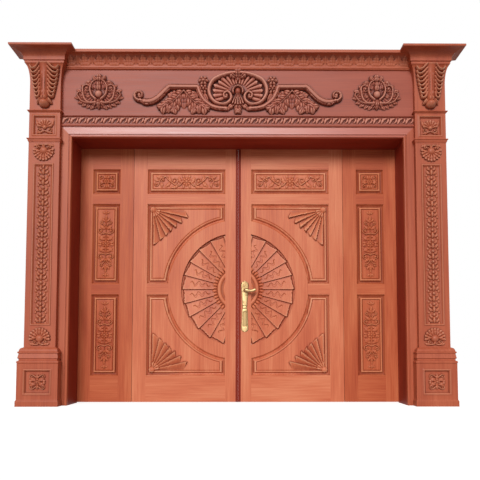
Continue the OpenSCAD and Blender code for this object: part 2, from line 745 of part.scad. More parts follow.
module outer_panels(left) sided(left) color(leaf_wood) {
    x0 = outer_x0 + stile_w;
    x1 = outer_x1 - stile_w;
    middle = (x0 + x1) / 2;
    field_w = x1 - x0 - 2 * moulding_w;
    for (z = [[low_z0, low_z1], [tall_z0, tall_z1]]) {
        panel_board(rectangle(x0, z[0], x1, z[1]));
        on_field(middle, (z[0] + z[1]) / 2) leaf_spray(z[1] - z[0] - 2 * moulding_w - 40, field_w - 12);
    }
    panel_board(rectangle(x0, small_z0, x1, small_z1));
    on_field(middle, (small_z0 + small_z1) / 2) {
        rosette(6, field_w * 0.22, 9);
        for (a = [45:90:315]) rotate(a) translate([0, field_w * 0.24, 0]) petal(field_w * 0.34, 8, 34, 8);
    }
}

module lock_pocket() {
    block(inner_x0 - 1, inner_x0 + case_w + fit_gap,
        groove_y - case_t / 2 - fit_gap, groove_y + case_t / 2 + fit_gap,
        case_z0 - fit_gap, case_z1 + fit_gap);
    for (z = [lever_z, turn_z]) translate([lock_x, leaf_y - 1, z]) rotate([-90, 0, 0])
        cylinder(r = neck_r + 2, h = leaf_t + 2);
}

module strike_pockets() {
    block(inner_x0 - 1, inner_x0 + strike_t, groove_y - strike_w / 2 - fit_gap, groove_y + strike_w / 2 + fit_gap,
        case_z0 - fit_gap, case_z1 + fit_gap);
    block(inner_x0, inner_x0 + latch_travel + 2, groove_y - latch_t / 2 - 1, groove_y + latch_t / 2 + 1,
        lever_z - latch_h / 2 - 1, lever_z + latch_h / 2 + 1);
    block(inner_x0, inner_x0 + bolt_travel + 2, groove_y - bolt_t / 2 - 1, groove_y + bolt_t / 2 + 1,
        turn_z - bolt_h / 2 - 1, turn_z + bolt_h / 2 + 1);
}

module inner_stiles(left) sided(left) color(leaf_wood)
    difference() {
        stile_pair(inner_x0, meeting_w, inner_x1, stile_w);
        if (left) strike_pockets();
        else lock_pocket();
    }

module inner_rails(left) sided(left) color(leaf_wood) {
    rail(field_x0, field_x1, leaf_z0, low_z0, false, true);
    rail(field_x0, field_x1, tall_z1, small_z0, true, true);
    rail(field_x0, field_x1, small_z1, leaf_z1, true, false);
    difference() {
        rail(field_x0, field_x1, low_z1, tall_z0, true, true);
        translate([0, leaf_y - 1, sun_z]) rotate([-90, 0, 0]) cylinder(r = arch_r, h = leaf_t + 2);
    }
}

// Curved rail between the sun and the spandrels, tenoned into the meeting stile
module arch_rail(left) sided(left) color(leaf_wood) {
    reach = groove_d - fit_gap;
    union() {
        intersection() {
            translate([0, leaf_y, sun_z]) rotate([-90, 0, 0]) difference() {
                cylinder(r = arch_r, h = leaf_t);
                translate([0, 0, -1]) cylinder(r = sun_r, h = leaf_t + 2);
                translate([0, 0, (leaf_t - groove_t) / 2]) {
                    cylinder(r = sun_r + groove_d, h = groove_t);
                    difference() {
                        cylinder(r = arch_r + 1, h = groove_t);
                        translate([0, 0, -1]) cylinder(r = arch_r - groove_d, h = groove_t + 2);
                    }
                }
            }
            block(field_x0, big, leaf_y - 1, back_y + 1, -big, big);
        }
        intersection() {
            translate([0, groove_y - groove_t / 2 + fit_gap, sun_z]) rotate([-90, 0, 0]) difference() {
                cylinder(r = arch_r - groove_d - fit_gap, h = groove_t - 2 * fit_gap);
                translate([0, 0, -1]) cylinder(r = sun_r + groove_d + fit_gap, h = groove_t + 2);
            }
            block(field_x0 - reach, field_x0 + 1, leaf_y, back_y, -big, big);
        }
    }
}

// Half of the sun: a boss, a ruffle of petals and pleated rays out to a straight-sided rim
module sun_panel(left) sided(left) color(leaf_wood) {
    rays = 24;
    ray = 360 / rays;
    rim_r = sun_r - panel_room;
    front_y = leaf_y + valley_d + 3;
    disc = arc(rim_r, -90, 90, rays / 2);
    tongue = arc(sun_r + groove_d - panel_room, -90, 90, rays);
    difference() {
        union() {
            translate([0, 0, sun_z]) {
                between_y(front_y, back_y - valley_d) polygon(disc);
                between_y(groove_y - groove_t / 2 + fit_gap, groove_y + groove_t / 2 - fit_gap) polygon(tongue);
            }
            at_face(0, front_y, sun_z) {
                pleated_fan(rays / 2, -90, ray, sun_r * 0.44, rim_r - 6, 3, 12);
                for (a = [ray / 2:ray:180]) rotate(-a) translate([0, sun_r * 0.33, 0])
                    petal(sun_r * 0.14, sun_r * 0.07, sun_r * 0.09, 17);
                cylinder(r = sun_r * 0.35, h = 9, $fn = rays);
                cylinder(r = sun_r * 0.27, h = 13, $fn = rays);
            }
        }
        block(-big, field_x0 + fit_gap, leaf_y - big, groove_y - groove_t / 2 + fit_gap, -big, big);
        block(-big, field_x0 + fit_gap, groove_y + groove_t / 2 - fit_gap, back_y + big, -big, big);
        block(-big, field_x0 - groove_d + fit_gap, leaf_y - big, back_y + big, -big, big);
    }
}

// Opening of the upper spandrel about the centre of the sun, anticlockwise
spandrel_path = let(
        steps = 7,
        top = tall_z1 - sun_z,
        foot = mid_rail_h / 2,
        a0 = asin(foot / arch_r),
        a1 = acos(field_x0 / arch_r),
        half_step = (a1 - a0) / steps / 2)
    concat(
        [[field_x1, foot], [field_x1, top], [field_x0, top]],
        [for (p = arc(arch_r / cos(half_step), a1, a0, steps)) p]
    );

// Quarter fan in a spandrel's outer corner, opening towards -x and -y
module corner_fan(r) {
    count = 7;
    step = 84 / count;
    pleated_fan(count, 225 - 42, step, r * 0.24, r, 3, 9);
    rotate(135) translate([0, r * 0.12, 0]) button(r * 0.15, 10);
}

module inner_panels(left) sided(left) color(leaf_wood) {
    width = field_x1 - field_x0;
    corner = moulding_w + 4;
    fan_r = big_panel_h * 0.46;
    for (up = [1, -1]) {
        panel_board(shifted(up > 0 ? spandrel_path : flipped(spandrel_path), [0, sun_z]));
        on_field(field_x1 - corner, sun_z + up * (tall_z1 - sun_z - corner))
            mirror([0, up > 0 ? 0 : 1, 0]) corner_fan(fan_r);
    }
    panel_board(rectangle(field_x0, small_z0, field_x1, small_z1));
    on_field((field_x0 + field_x1) / 2, (small_z0 + small_z1) / 2) {
        rosette(6, top_panel_h * 0.2, 9);
        mirrored_pair() {
            for (i = [0:2]) translate([width * (0.09 + 0.1 * i), 4 + 4 * i, 0])
                rotate(-54 - 8 * i) petal(width * 0.09, 8, 26, 8);
            for (i = [0:2]) translate([width * (0.09 + 0.1 * i), -12, 0])
                rotate(-122 + 8 * i) petal(width * 0.09, 8, 24, 8);
        }
    }
}

module meeting_bead(left) sided(left) color(dark_wood)
    translate([inner_x0, leaf_y - meeting_bead_t, leaf_z0])
        linear_extrude(leaf_z1 - leaf_z0 - stop_t)
            polygon(concat(
                [[0, meeting_bead_t], [0, meeting_bead_t * 0.5]],
                [for (p = arc(1, 180, 0, 8))
                    [meeting_bead_w * (0.3 + 0.3 * p[0]), meeting_bead_t * 0.5 * (1 - p[1])]],
                [[meeting_bead_w * 0.7, meeting_bead_t * 0.6], [meeting_bead_w, meeting_bead_t * 0.75],
                 [meeting_bead_w, meeting_bead_t]]
            ));

// Hinges: the fixed half holds the pin and the end knuckles, the moving half the middle knuckle

hinge_step = (leaf_z1 - leaf_z0 - 2 * hinge_inset) / (hinge_count - 1);
knuckle_gap = 0.3;

module at_hinges(x) {
    for (i = [0:hinge_count - 1])
        translate([x, axis_y, leaf_z0 + hinge_inset + i * hinge_step]) children();
}

// Flap that lies on the rear face towards +x, with a tab to each knuckle span
module flap(spans) {
    drop = axis_y - back_y;
    translate([knuckle_r + 1.5, -drop, -hinge_h / 2]) cube([flap_w - 1.5, flap_t, hinge_h]);
    for (s = spans) translate([2, -drop, s[0]]) cube([knuckle_r + 1, flap_t, s[1] - s[0]]);
}

module fixed_half() {
    third = hinge_h / 6;
    spans = [[-hinge_h / 2, -third - knuckle_gap], [third + knuckle_gap, hinge_h / 2]];
    flap(spans);
    for (s = spans) translate([0, 0, s[0]]) cylinder(r = knuckle_r, h = s[1] - s[0]);
    translate([0, 0, -hinge_h / 2 - 4]) cylinder(r = pin_r, h = hinge_h + 8);
}

module moving_half() {
    third = hinge_h / 6;
    difference() {
        union() {
            flap([[-third, third]]);
            translate([0, 0, -third]) cylinder(r = knuckle_r, h = 2 * third);
        }
        translate([0, 0, -hinge_h]) cylinder(r = pin_r + run_gap, h = 2 * hinge_h);
    }
}

module jamb_hinge_flaps() color(brass) mirrored_pair() at_hinges(jamb_axis_x) fixed_half();

module outer_hinge_flaps(left) sided(left) color(brass) {
    at_hinges(jamb_axis_x) mirror([1, 0, 0]) moving_half();
    at_hinges(seam_axis_x) fixed_half();
}

module inner_hinge_flaps(left) sided(left) color(brass)
    at_hinges(seam_axis_x) mirror([1, 0, 0]) moving_half();

// Lock and handles on the right inner leaf

// Plate outline about the lever's axis, with a crested head, a waist, a boss and a round foot
plate_foot = 2.27 * plate_w;
turn_drop = turn_z - lever_z;

module plate_outline() {
    w = plate_w / 2;
    foot = turn_drop - plate_foot;
    union() {
        translate([0, 1.2 * w]) circle(r = 0.76 * w);
        for (s = [-1, 1]) translate([s * 0.56 * w, 0.8 * w]) circle(r = 0.44 * w);
        translate([0, 2 * w]) circle(r = 0.4 * w);
        polygon([[-0.84 * w, 0.7 * w], [-0.84 * w, -0.8 * w], [-0.52 * w, turn_drop],
            [0.52 * w, turn_drop], [0.84 * w, -0.8 * w], [0.84 * w, 0.7 * w]]);
        translate([0, turn_drop]) circle(r = 0.9 * w);
        polygon([[-0.6 * w, turn_drop], [-w, turn_drop - w], [-w, foot],
            [w, foot], [w, turn_drop - w], [0.6 * w, turn_drop]]);
        translate([0, foot]) circle(r = w);
    }
}

module handle_plate() color(brass) {
    boss_h = 4;
    rib_w = plate_w * 0.09;
    at_face(lock_x, leaf_y, lever_z) difference() {
        union() {
            linear_extrude(plate_t) plate_outline();
            translate([0, 0, plate_t - 1]) cylinder(r = neck_r + 6, h = boss_h);
            translate([0, turn_drop, plate_t - 1]) cylinder(r = plate_w * 0.3, h = boss_h);
            for (i = [-2:2]) translate([i * plate_w * 0.17 - rib_w / 2, turn_drop - plate_foot, plate_t - 1])
                cube([rib_w, plate_foot * 0.7, boss_h - 1]);
        }
        translate([0, 0, -1]) cylinder(r = neck_r + run_gap, h = plate_t + 2 * boss_h);
        translate([0, turn_drop, plate_t]) cylinder(r = plate_w * 0.12, h = 2 * boss_h);
        translate([-plate_w * 0.03, turn_drop - plate_w * 0.08, 1])
            cube([plate_w * 0.06, plate_w * 0.16, 2 * plate_t]);
    }
}

// Arm of a lever: a waved bar seen from the front, bent back at its tip seen from above
module lever_arm() {
    top = spline([[-14, 8], [16, 9], [48, 3], [lever_l - 14, 9], [lever_l, 12]], 3);
    low = spline([[lever_l, -2], [lever_l - 14, -3], [48, -10], [16, -8], [-14, -8]], 3);
    depth = 16;
    intersection() {
        translate([0, 0, lever_out - depth]) linear_extrude(depth) polygon(concat(top, low));
        rotate([90, 0, 0]) linear_extrude(2 * big, center = true) polygon([
            [-14, lever_out - depth], [lever_l - 8, lever_out - depth], [lever_l, lever_out - depth + 4],
            [lever_l, lever_out - 8], [lever_l - 12, lever_out - 3], [40, lever_out - 2], [12, lever_out],
            [-10, lever_out], [-14, lever_out - 4]
        ]);
    }
}

module front_lever() color(brass) {
    at_face(lock_x, leaf_y, lever_z) {
        lever_arm();
        cylinder(r = neck_r, h = lever_out - 4);
    }
    translate([lock_x - spindle / 2, leaf_y - 1, lever_z - spindle / 2])
        cube([spindle, leaf_t + 1, spindle]);
    translate([lock_x, groove_y - case_t / 2, lever_z]) rotate([-90, 0, 0]) cylinder(r = neck_r - 1, h = case_t);
}

module rear_plate() color(brass) {
    height = lever_z - turn_z;
    translate([lock_x, back_y, 0]) rotate([90, 0, 0]) translate([0, 0, -plate_t]) difference() {
        linear_extrude(plate_t) union() {
            translate([0, lever_z + 34]) circle(r = plate_w * 0.42);
            translate([0, turn_z - 50]) circle(r = plate_w * 0.42);
            translate([-plate_w * 0.42, turn_z - 50]) square([plate_w * 0.84, height + 84]);
        }
        translate([0, lever_z, -1]) cylinder(r = neck_r + run_gap, h = plate_t + 2);
        translate([0, turn_z, -1]) cylinder(r = neck_r + run_gap, h = plate_t + 2);
    }
}

module rear_lever() color(brass)
    translate([lock_x, back_y, lever_z]) mirror([0, 1, 0]) rotate([90, 0, 0]) {
        lever_arm();
        cylinder(r = neck_r, h = lever_out - 4);
    }

module thumb_turn() color(brass) translate([lock_x, back_y, turn_z]) rotate([-90, 0, 0]) {
    cylinder(r = neck_r, h = plate_t + 8);
    translate([-5, -20, plate_t + 1]) cube([10, 40, 20]);
    translate([0, 0, -leaf_t / 2 - case_t / 2]) cylinder(r = neck_r - 4, h = leaf_t / 2 + case_t / 2 + 1);
}

module lock_case() color(steel) difference() {
    block(inner_x0, inner_x0 + case_w, groove_y - case_t / 2, groove_y + case_t / 2, case_z0, case_z1);
    translate([lock_x, groove_y - case_t, lever_z]) rotate([-90, 0, 0])
        cylinder(r = neck_r - 1 + run_gap, h = 2 * case_t);
    translate([lock_x, groove_y - case_t, turn_z]) rotate([-90, 0, 0])
        cylinder(r = neck_r - 4 + run_gap, h = 2 * case_t);
    block(inner_x0 - 1, inner_x0 + latch_l + bolt_gap, groove_y - latch_t / 2 - bolt_gap,
        groove_y + latch_t / 2 + bolt_gap, lever_z - latch_h / 2 - bolt_gap, lever_z + latch_h / 2 + bolt_gap);
    block(inner_x0 - 1, inner_x0 + bolt_l - 8 + bolt_gap, groove_y - bolt_t / 2 - bolt_gap,
        groove_y + bolt_t / 2 + bolt_gap, turn_z - bolt_h / 2 - bolt_gap, turn_z + bolt_h / 2 + bolt_gap);
}

// Spring latch, thrown through the gap into the left leaf, with its nose bevelled on the rear side
module latch_bolt() color(brass) {
    x0 = inner_x0 - latch_travel;
    translate([0, 0, lever_z - latch_h / 2]) linear_extrude(latch_h) polygon([
        [x0 + latch_t * 0.6, groove_y + latch_t / 2],
        [x0, groove_y - latch_t / 2 + 1.5], [x0, groove_y - latch_t / 2],
        [x0 + latch_l, groove_y - latch_t / 2], [x0 + latch_l, groove_y + latch_t / 2]
    ]);
}

module dead_bolt() color(brass)
    block(inner_x0, inner_x0 + bolt_l - 8, groove_y - bolt_t / 2, groove_y + bolt_t / 2,
        turn_z - bolt_h / 2, turn_z + bolt_h / 2);

module strike_plate() color(brass) sided(true) difference() {
    block(inner_x0, inner_x0 + strike_t, groove_y - strike_w / 2, groove_y + strike_w / 2, case_z0, case_z1);
    block(inner_x0 - 1, inner_x0 + strike_t + 1, groove_y - latch_t / 2 - 1, groove_y + latch_t / 2 + 1,
        lever_z - latch_h / 2 - 1, lever_z + latch_h / 2 + 1);
    block(inner_x0 - 1, inner_x0 + strike_t + 1, groove_y - bolt_t / 2 - 1, groove_y + bolt_t / 2 + 1,
        turn_z - bolt_h / 2 - 1, turn_z + bolt_h / 2 + 1);
}

jamb(true);  // left_jamb
jamb(false);  // right_jamb
head_jamb();
stop(true);  // left_stop
stop(false);  // right_stop
head_stop();
casing(true);  // left_casing
casing(false);  // right_casing
head_casing();
plinth(true);  // left_plinth
plinth(false);  // right_plinth
base_moulding(true);  // left_base_moulding
base_moulding(false);  // right_base_moulding
pilaster(true);  // left_pilaster
pilaster(false);  // right_pilaster
capital(true);  // left_capital
capital(false);  // right_capital
corner_block(true);  // left_corner_block
corner_block(false);  // right_corner_block
crown(true);  // left_crown
crown(false);  // right_crown
wave_band();
frieze();
cornice();
outer_stiles(true);  // left_outer_stiles
outer_rails(true);  // left_outer_rails
outer_panels(true);  // left_outer_panels
outer_stiles(false);  // right_outer_stiles
outer_rails(false);  // right_outer_rails
outer_panels(false);  // right_outer_panels
inner_stiles(true);  // left_inner_stiles
inner_rails(true);  // left_inner_rails
arch_rail(true);  // left_arch_rail
sun_panel(true);  // left_sun_panel
inner_panels(true);  // left_inner_panels
inner_stiles(false);  // right_inner_stiles
inner_rails(false);  // right_inner_rails
arch_rail(false);  // right_arch_rail
sun_panel(false);  // right_sun_panel
inner_panels(false);  // right_inner_panels
meeting_bead(true);  // left_meeting_bead
meeting_bead(false);  // right_meeting_bead
jamb_hinge_flaps();
outer_hinge_flaps(true);  // left_outer_hinge_flaps
outer_hinge_flaps(false);  // right_outer_hinge_flaps
inner_hinge_flaps(true);  // left_inner_hinge_flaps
inner_hinge_flaps(false);  // right_inner_hinge_flaps
handle_plate();
front_lever();
rear_plate();
rear_lever();
thumb_turn();
lock_case();
latch_bolt();
dead_bolt();
strike_plate();
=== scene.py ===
"""Dresses the four-leaf carved entrance door: carved reliefs, hardwood finishes, studio light and camera."""

import logging
import math
from dataclasses import dataclass, field
from enum import Enum
from typing import Callable, Sequence

import bpy
import numpy as np
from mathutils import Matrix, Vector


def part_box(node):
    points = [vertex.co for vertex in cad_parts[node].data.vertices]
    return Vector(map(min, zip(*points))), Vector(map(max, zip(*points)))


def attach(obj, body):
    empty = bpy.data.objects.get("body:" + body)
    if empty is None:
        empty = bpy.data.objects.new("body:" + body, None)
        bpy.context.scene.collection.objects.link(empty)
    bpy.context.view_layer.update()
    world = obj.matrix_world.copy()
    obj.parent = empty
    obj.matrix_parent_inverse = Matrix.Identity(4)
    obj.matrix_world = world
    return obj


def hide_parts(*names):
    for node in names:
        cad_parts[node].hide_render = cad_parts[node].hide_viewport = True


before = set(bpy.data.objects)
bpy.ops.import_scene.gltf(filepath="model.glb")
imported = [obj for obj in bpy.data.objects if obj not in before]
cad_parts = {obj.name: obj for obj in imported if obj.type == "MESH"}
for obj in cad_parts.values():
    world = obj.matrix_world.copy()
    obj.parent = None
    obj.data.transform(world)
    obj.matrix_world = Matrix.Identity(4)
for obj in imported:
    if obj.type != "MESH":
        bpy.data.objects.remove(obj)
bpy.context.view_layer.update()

MM = 0.001
SHARP = math.radians(40)
LOG = logging.getLogger("carved_door")
Point = tuple[float, float]


class Grain(Enum):
    """Way the grain runs in a piece of wood."""

    UPRIGHT = "upright"
    ACROSS = "across"


class Side(Enum):
    """Half of the door that a piece belongs to, with the sign of its x."""

    LEFT = -1
    RIGHT = 1

    @property
    def word(self) -> str:
        """Name of the side as the nodes spell it."""
        return self.name.lower()


@dataclass(frozen=True)
class Extent:
    """Box of a node at rest, in millimetres."""

    x0: float
    x1: float
    y0: float
    y1: float
    z0: float
    z1: float

    @classmethod
    def of(cls, node: str) -> "Extent":
        """Reads the box of a node from the frame."""
        low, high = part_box(node)
        return cls(*(value / MM for pair in zip(low, high) for value in pair))


def linear(colour: str) -> tuple[float, float, float, float]:
    """Turns an sRGB hex colour to linear light with the two-part sRGB curve.

    Args:
        colour: six hex digits after a hash.

    Returns:
        Linear red, green, blue and an alpha of one.
    """
    parts = [int(colour[i:i + 2], 16) / 255 for i in (1, 3, 5)]
    red, green, blue = (c / 12.92 if c <= 0.04045 else ((c + 0.055) / 1.055) ** 2.4 for c in parts)
    return red, green, blue, 1.0


def add_node(tree: bpy.types.NodeTree, kind: str, settings: dict | None = None,
             inputs: dict | None = None) -> bpy.types.Node:
    """Adds one node with its settings and links.

    Args:
        tree: node tree that takes the node.
        kind: Blender's name of the node type.
        settings: attribute names and values.
        inputs: socket names or numbers, each with a value or with the output socket that feeds it.

    Returns:
        The new node.
    """
    node = tree.nodes.new(kind)
    for key, value in (settings or {}).items():
        setattr(node, key, value)
    for key, value in (inputs or {}).items():
        if isinstance(value, bpy.types.NodeSocket):
            tree.links.new(value, node.inputs[key])
        else:
            node.inputs[key].default_value = value
    return node


def empty_material(name: str) -> tuple[bpy.types.Material, bpy.types.NodeTree]:
    """Makes a material with no nodes.

    Args:
        name: its name.

    Returns:
        The material and its node tree.
    """
    material = bpy.data.materials.new(name)
    material.use_nodes = True
    material.node_tree.nodes.clear()
    return material, material.node_tree


def seen_directly(tree: bpy.types.NodeTree) -> bpy.types.NodeSocket:
    """Adds nodes that give 1 on camera, transmission and glossy rays, and 0 on all others.

    Args:
        tree: node tree that takes them.

    Returns:
        Their output.
    """
    rays = add_node(tree, "ShaderNodeLightPath").outputs
    seen = rays["Is Camera Ray"]
    for name in ("Is Transmission Ray", "Is Glossy Ray"):
        seen = add_node(tree, "ShaderNodeMath", {"operation": "MAXIMUM"}, {0: seen, 1: rays[name]}).outputs[0]
    return seen


@dataclass(frozen=True)
class Hardwood:
    """Tropical hardwood, carved by hand, stained and varnished.

    The eye sees long streaks along the grain over broader tone from board to board, varnish pooling dark
    in the hollows together with painted shade there, and paler wood where rubbing has polished raised
    carving together with painted highlights on proud edges. The coat gives a soft sheen.
    Grain is drawn about three times as wide as in the real wood, because one pixel covers 8 mm.
    """

    name: str
    streak_dark: str
    body: str
    streak_light: str
    pooled_and_shade: str
    rubbed_and_highlight: str
    roughness: float = 0.5
    sheen_level: float = 0.18
    coat: float = 0.04
    streak_mm: float = 10.0
    streak_length_mm: float = 320.0
    board_mm: float = 130.0
    pore_mm: float = 3.0

    def material(self, grain: Grain) -> bpy.types.Material:
        """Builds the varnished wood with its streaks along the grain.

        Args:
            grain: way the streaks run.

        Returns:
            The material.
        """
        material, tree = empty_material(f"{self.name}_{grain.value}_grain")
        place = add_node(tree, "ShaderNodeTexCoord").outputs["Object"]

        def stretched(width_mm: float, length_mm: float) -> bpy.types.NodeSocket:
            """Scales Object coordinates to the grain.

            Args:
                width_mm: length of one unit across the grain.
                length_mm: length of one unit along it.

            Returns:
                The scaled coordinates.
            """
            across, along = 1 / (width_mm * MM), 1 / (length_mm * MM)
            scale = (across, across, along) if grain is Grain.UPRIGHT else (along, across, across)
            return add_node(tree, "ShaderNodeMapping", inputs={"Vector": place, "Scale": scale}).outputs[0]

        streak = add_node(tree, "ShaderNodeTexNoise", inputs={
            "Vector": stretched(self.streak_mm, self.streak_length_mm), "Scale": 1.0, "Detail": 4.0,
            "Roughness": 0.6, "Distortion": 0.5}).outputs[0]
        board = add_node(tree, "ShaderNodeTexNoise", inputs={
            "Vector": stretched(self.board_mm, self.board_mm * 7), "Scale": 1.0, "Detail": 2.0}).outputs[0]
        pores = add_node(tree, "ShaderNodeTexNoise", inputs={
            "Vector": stretched(self.pore_mm, self.pore_mm * 14), "Scale": 1.0, "Detail": 2.0}).outputs[0]
        tone = add_node(tree, "ShaderNodeMix", {"data_type": "FLOAT"}, {
            0: 0.5, 2: streak, 3: board}).outputs[0]
        ramp = add_node(tree, "ShaderNodeValToRGB", inputs={"Fac": tone})
        ramp.color_ramp.elements[0].position = 0.32
        ramp.color_ramp.elements[0].color = linear(self.streak_dark)
        ramp.color_ramp.elements[1].position = 0.7
        ramp.color_ramp.elements[1].color = linear(self.streak_light)
        ramp.color_ramp.elements.new(0.5).color = linear(self.body)
        # Painted shade and highlight: the hollow value mixes hollows toward the dark varnish-and-shade colour
        # and proud edges toward the pale colour of rubbing and highlight.
        depth = add_node(tree, "ShaderNodeAttribute", {"attribute_name": "hollow"}).outputs["Fac"]
        sunk = add_node(tree, "ShaderNodeMapRange", inputs={
            "Value": depth, "From Min": 0.0, "From Max": -1.0, "To Max": 0.86}).outputs[0]
        proud = add_node(tree, "ShaderNodeMapRange", inputs={
            "Value": depth, "From Min": 0.1, "From Max": 1.0, "To Max": 0.62}).outputs[0]
        pooled_and_shade = add_node(tree, "ShaderNodeMix", {"data_type": "RGBA"}, {
            0: sunk, 6: ramp.outputs[0], 7: linear(self.pooled_and_shade)}).outputs[2]
        colour = add_node(tree, "ShaderNodeMix", {"data_type": "RGBA"}, {
            0: proud, 6: pooled_and_shade, 7: linear(self.rubbed_and_highlight)}).outputs[2]
        gloss = add_node(tree, "ShaderNodeMapRange", inputs={
            "Value": streak, "From Min": 0.3, "From Max": 0.7, "To Min": self.roughness - 0.05,
            "To Max": self.roughness + 0.07}).outputs[0]
        gloss = add_node(tree, "ShaderNodeMath", {"operation": "MAXIMUM"}, {0: gloss, 1: sunk}).outputs[0]
        texture = add_node(tree, "ShaderNodeMix", {"data_type": "FLOAT"}, {
            0: 0.6, 2: streak, 3: pores}).outputs[0]
        bump = add_node(tree, "ShaderNodeBump", inputs={
            "Height": texture, "Strength": 0.14, "Distance": 0.8 * MM}).outputs[0]
        shader = add_node(tree, "ShaderNodeBsdfPrincipled", inputs={
            "Base Color": colour, "Roughness": gloss, "Normal": bump, "IOR": 1.5,
            "Specular IOR Level": self.sheen_level, "Coat Weight": self.coat,
            "Coat Roughness": 0.3}).outputs[0]
        add_node(tree, "ShaderNodeOutputMaterial", inputs={"Surface": shader})
        return material


@dataclass(frozen=True)
class CastMetal:
    """Cast or rolled metal, polished once and dulled by handling.

    The eye sees a warm or grey metal, tarnished and duller in cloudy patches and in hollows. Where a
    piece paints shade into its hollow values, as the handle plate does, the same dark colour draws it.
    """

    name: str
    bright: str
    tarnish_and_shade: str
    roughness: float
    cloud_mm: float = 22.0

    def material(self) -> bpy.types.Material:
        """Builds the metal with its tarnish clouds.

        Returns:
            The material.
        """
        material, tree = empty_material(self.name)
        place = add_node(tree, "ShaderNodeTexCoord").outputs["Object"]
        clouds = add_node(tree, "ShaderNodeTexNoise", inputs={
            "Vector": place, "Scale": 1 / (self.cloud_mm * MM), "Detail": 4.0, "Roughness": 0.6}).outputs[0]
        tarnish_and_shade_share = add_node(tree, "ShaderNodeMapRange", inputs={
            "Value": clouds, "From Min": 0.5, "From Max": 0.8}).outputs[0]
        depth = add_node(tree, "ShaderNodeAttribute", {"attribute_name": "hollow"}).outputs["Fac"]
        sunk = add_node(tree, "ShaderNodeMapRange", inputs={
            "Value": depth, "From Min": 0.0, "From Max": -1.0}).outputs[0]
        # Real tarnishing in hollows, plus painted shade where a piece has painted it into the hollow values.
        tarnish_and_shade_share = add_node(tree, "ShaderNodeMath", {"operation": "MAXIMUM"}, {0: tarnish_and_shade_share, 1: sunk}).outputs[0]
        colour = add_node(tree, "ShaderNodeMix", {"data_type": "RGBA"}, {
            0: tarnish_and_shade_share, 6: linear(self.bright), 7: linear(self.tarnish_and_shade)}).outputs[2]
        dull = add_node(tree, "ShaderNodeMapRange", inputs={
            "Value": tarnish_and_shade_share, "To Min": self.roughness, "To Max": self.roughness + 0.2}).outputs[0]
        bump = add_node(tree, "ShaderNodeBump", inputs={
            "Height": clouds, "Strength": 0.12, "Distance": 0.5 * MM}).outputs[0]
        shader = add_node(tree, "ShaderNodeBsdfPrincipled", inputs={
            "Base Color": colour, "Metallic": 1.0, "Roughness": dull, "Normal": bump}).outputs[0]
        add_node(tree, "ShaderNodeOutputMaterial", inputs={"Surface": shader})
        return material


FRAME_WOOD = Hardwood("stained_hardwood_frame", "#984228", "#aa5234", "#b86243", "#42130a", "#dea080",
                      sheen_level=0.3)
HEAD_WOOD = Hardwood("stained_hardwood_head", "#883926", "#984631", "#a5533e", "#340d07", "#de9c86",
                     sheen_level=0.32)
CASING_WOOD = Hardwood("satin_hardwood_casing", "#963f2a", "#a84d36", "#b65c45", "#42130a", "#d2896c",
                       roughness=0.36, sheen_level=0.62)
LEAF_WOOD = Hardwood("stained_hardwood_leaves", "#b35333", "#c96c48", "#d98660", "#742914", "#e8ab86",
                     sheen_level=0.25)
# The outer leaves are drawn darker, partly for their own wood tone and partly as painted shade from the
# jambs.
OUTER_WOOD = Hardwood("stained_hardwood_outer_leaves", "#a04225", "#b65835", "#c97049", "#5e1d0e", "#de966e")
DARK_WOOD = Hardwood("dark_stained_hardwood", "#742113", "#8a2c1b", "#9c3c27", "#2a0905", "#ac523a")
BRASS = CastMetal("polished_cast_brass", "#b0946a", "#5c4628", 0.38)
STEEL = CastMetal("rolled_lock_steel", "#a9a9a6", "#74736f", 0.34)


@dataclass(frozen=True)
class Dress:
    """Finish of a piece, with the material slot of the record that it belongs to."""

    material: bpy.types.Material
    slot: str


class Wardrobe:
    """Makes each finish once and hands it out."""

    def __init__(self) -> None:
        """Builds all finishes of the door."""
        slots = {"frame_hardwood": (FRAME_WOOD, HEAD_WOOD, CASING_WOOD),
                 "leaf_hardwood": (LEAF_WOOD, OUTER_WOOD), "dark_hardwood": (DARK_WOOD,)}
        self.woods = {(wood.name, grain): Dress(wood.material(grain), slot)
                      for slot, woods in slots.items() for wood in woods for grain in Grain}
        self.brass = Dress(BRASS.material(), "antique_brass")
        self.steel = Dress(STEEL.material(), "lock_steel")

    def frame(self, grain: Grain = Grain.UPRIGHT) -> Dress:
        """Wood of the fixed frame."""
        return self.woods[FRAME_WOOD.name, grain]

    def head(self, grain: Grain = Grain.ACROSS) -> Dress:
        """Wood of the frieze and wave band, darker and with more sheen."""
        return self.woods[HEAD_WOOD.name, grain]

    def casing(self, grain: Grain = Grain.ACROSS) -> Dress:
        """Satin wood of the head casing, which mirrors the pale sky."""
        return self.woods[CASING_WOOD.name, grain]

    def leaf(self, grain: Grain = Grain.UPRIGHT) -> Dress:
        """Wood of the two wide leaves."""
        return self.woods[LEAF_WOOD.name, grain]

    def outer(self, grain: Grain = Grain.UPRIGHT) -> Dress:
        """Wood of the two narrow leaves, darker: partly their own tone, partly painted shade from the jambs.
        """
        return self.woods[OUTER_WOOD.name, grain]

    def dark(self, grain: Grain = Grain.UPRIGHT) -> Dress:
        """Dark wood of the jambs, stops and meeting beads."""
        return self.woods[DARK_WOOD.name, grain]


def dress_node(name: str, dress: Dress) -> None:
    """Gives a carried-over node its finish.

    Args:
        name: node name.
        dress: finish that it takes.
    """
    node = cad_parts[name]
    node.data.materials.clear()
    node.data.materials.append(dress.material)
    LOG.info("finished node %s in %s", name, dress.material.name)


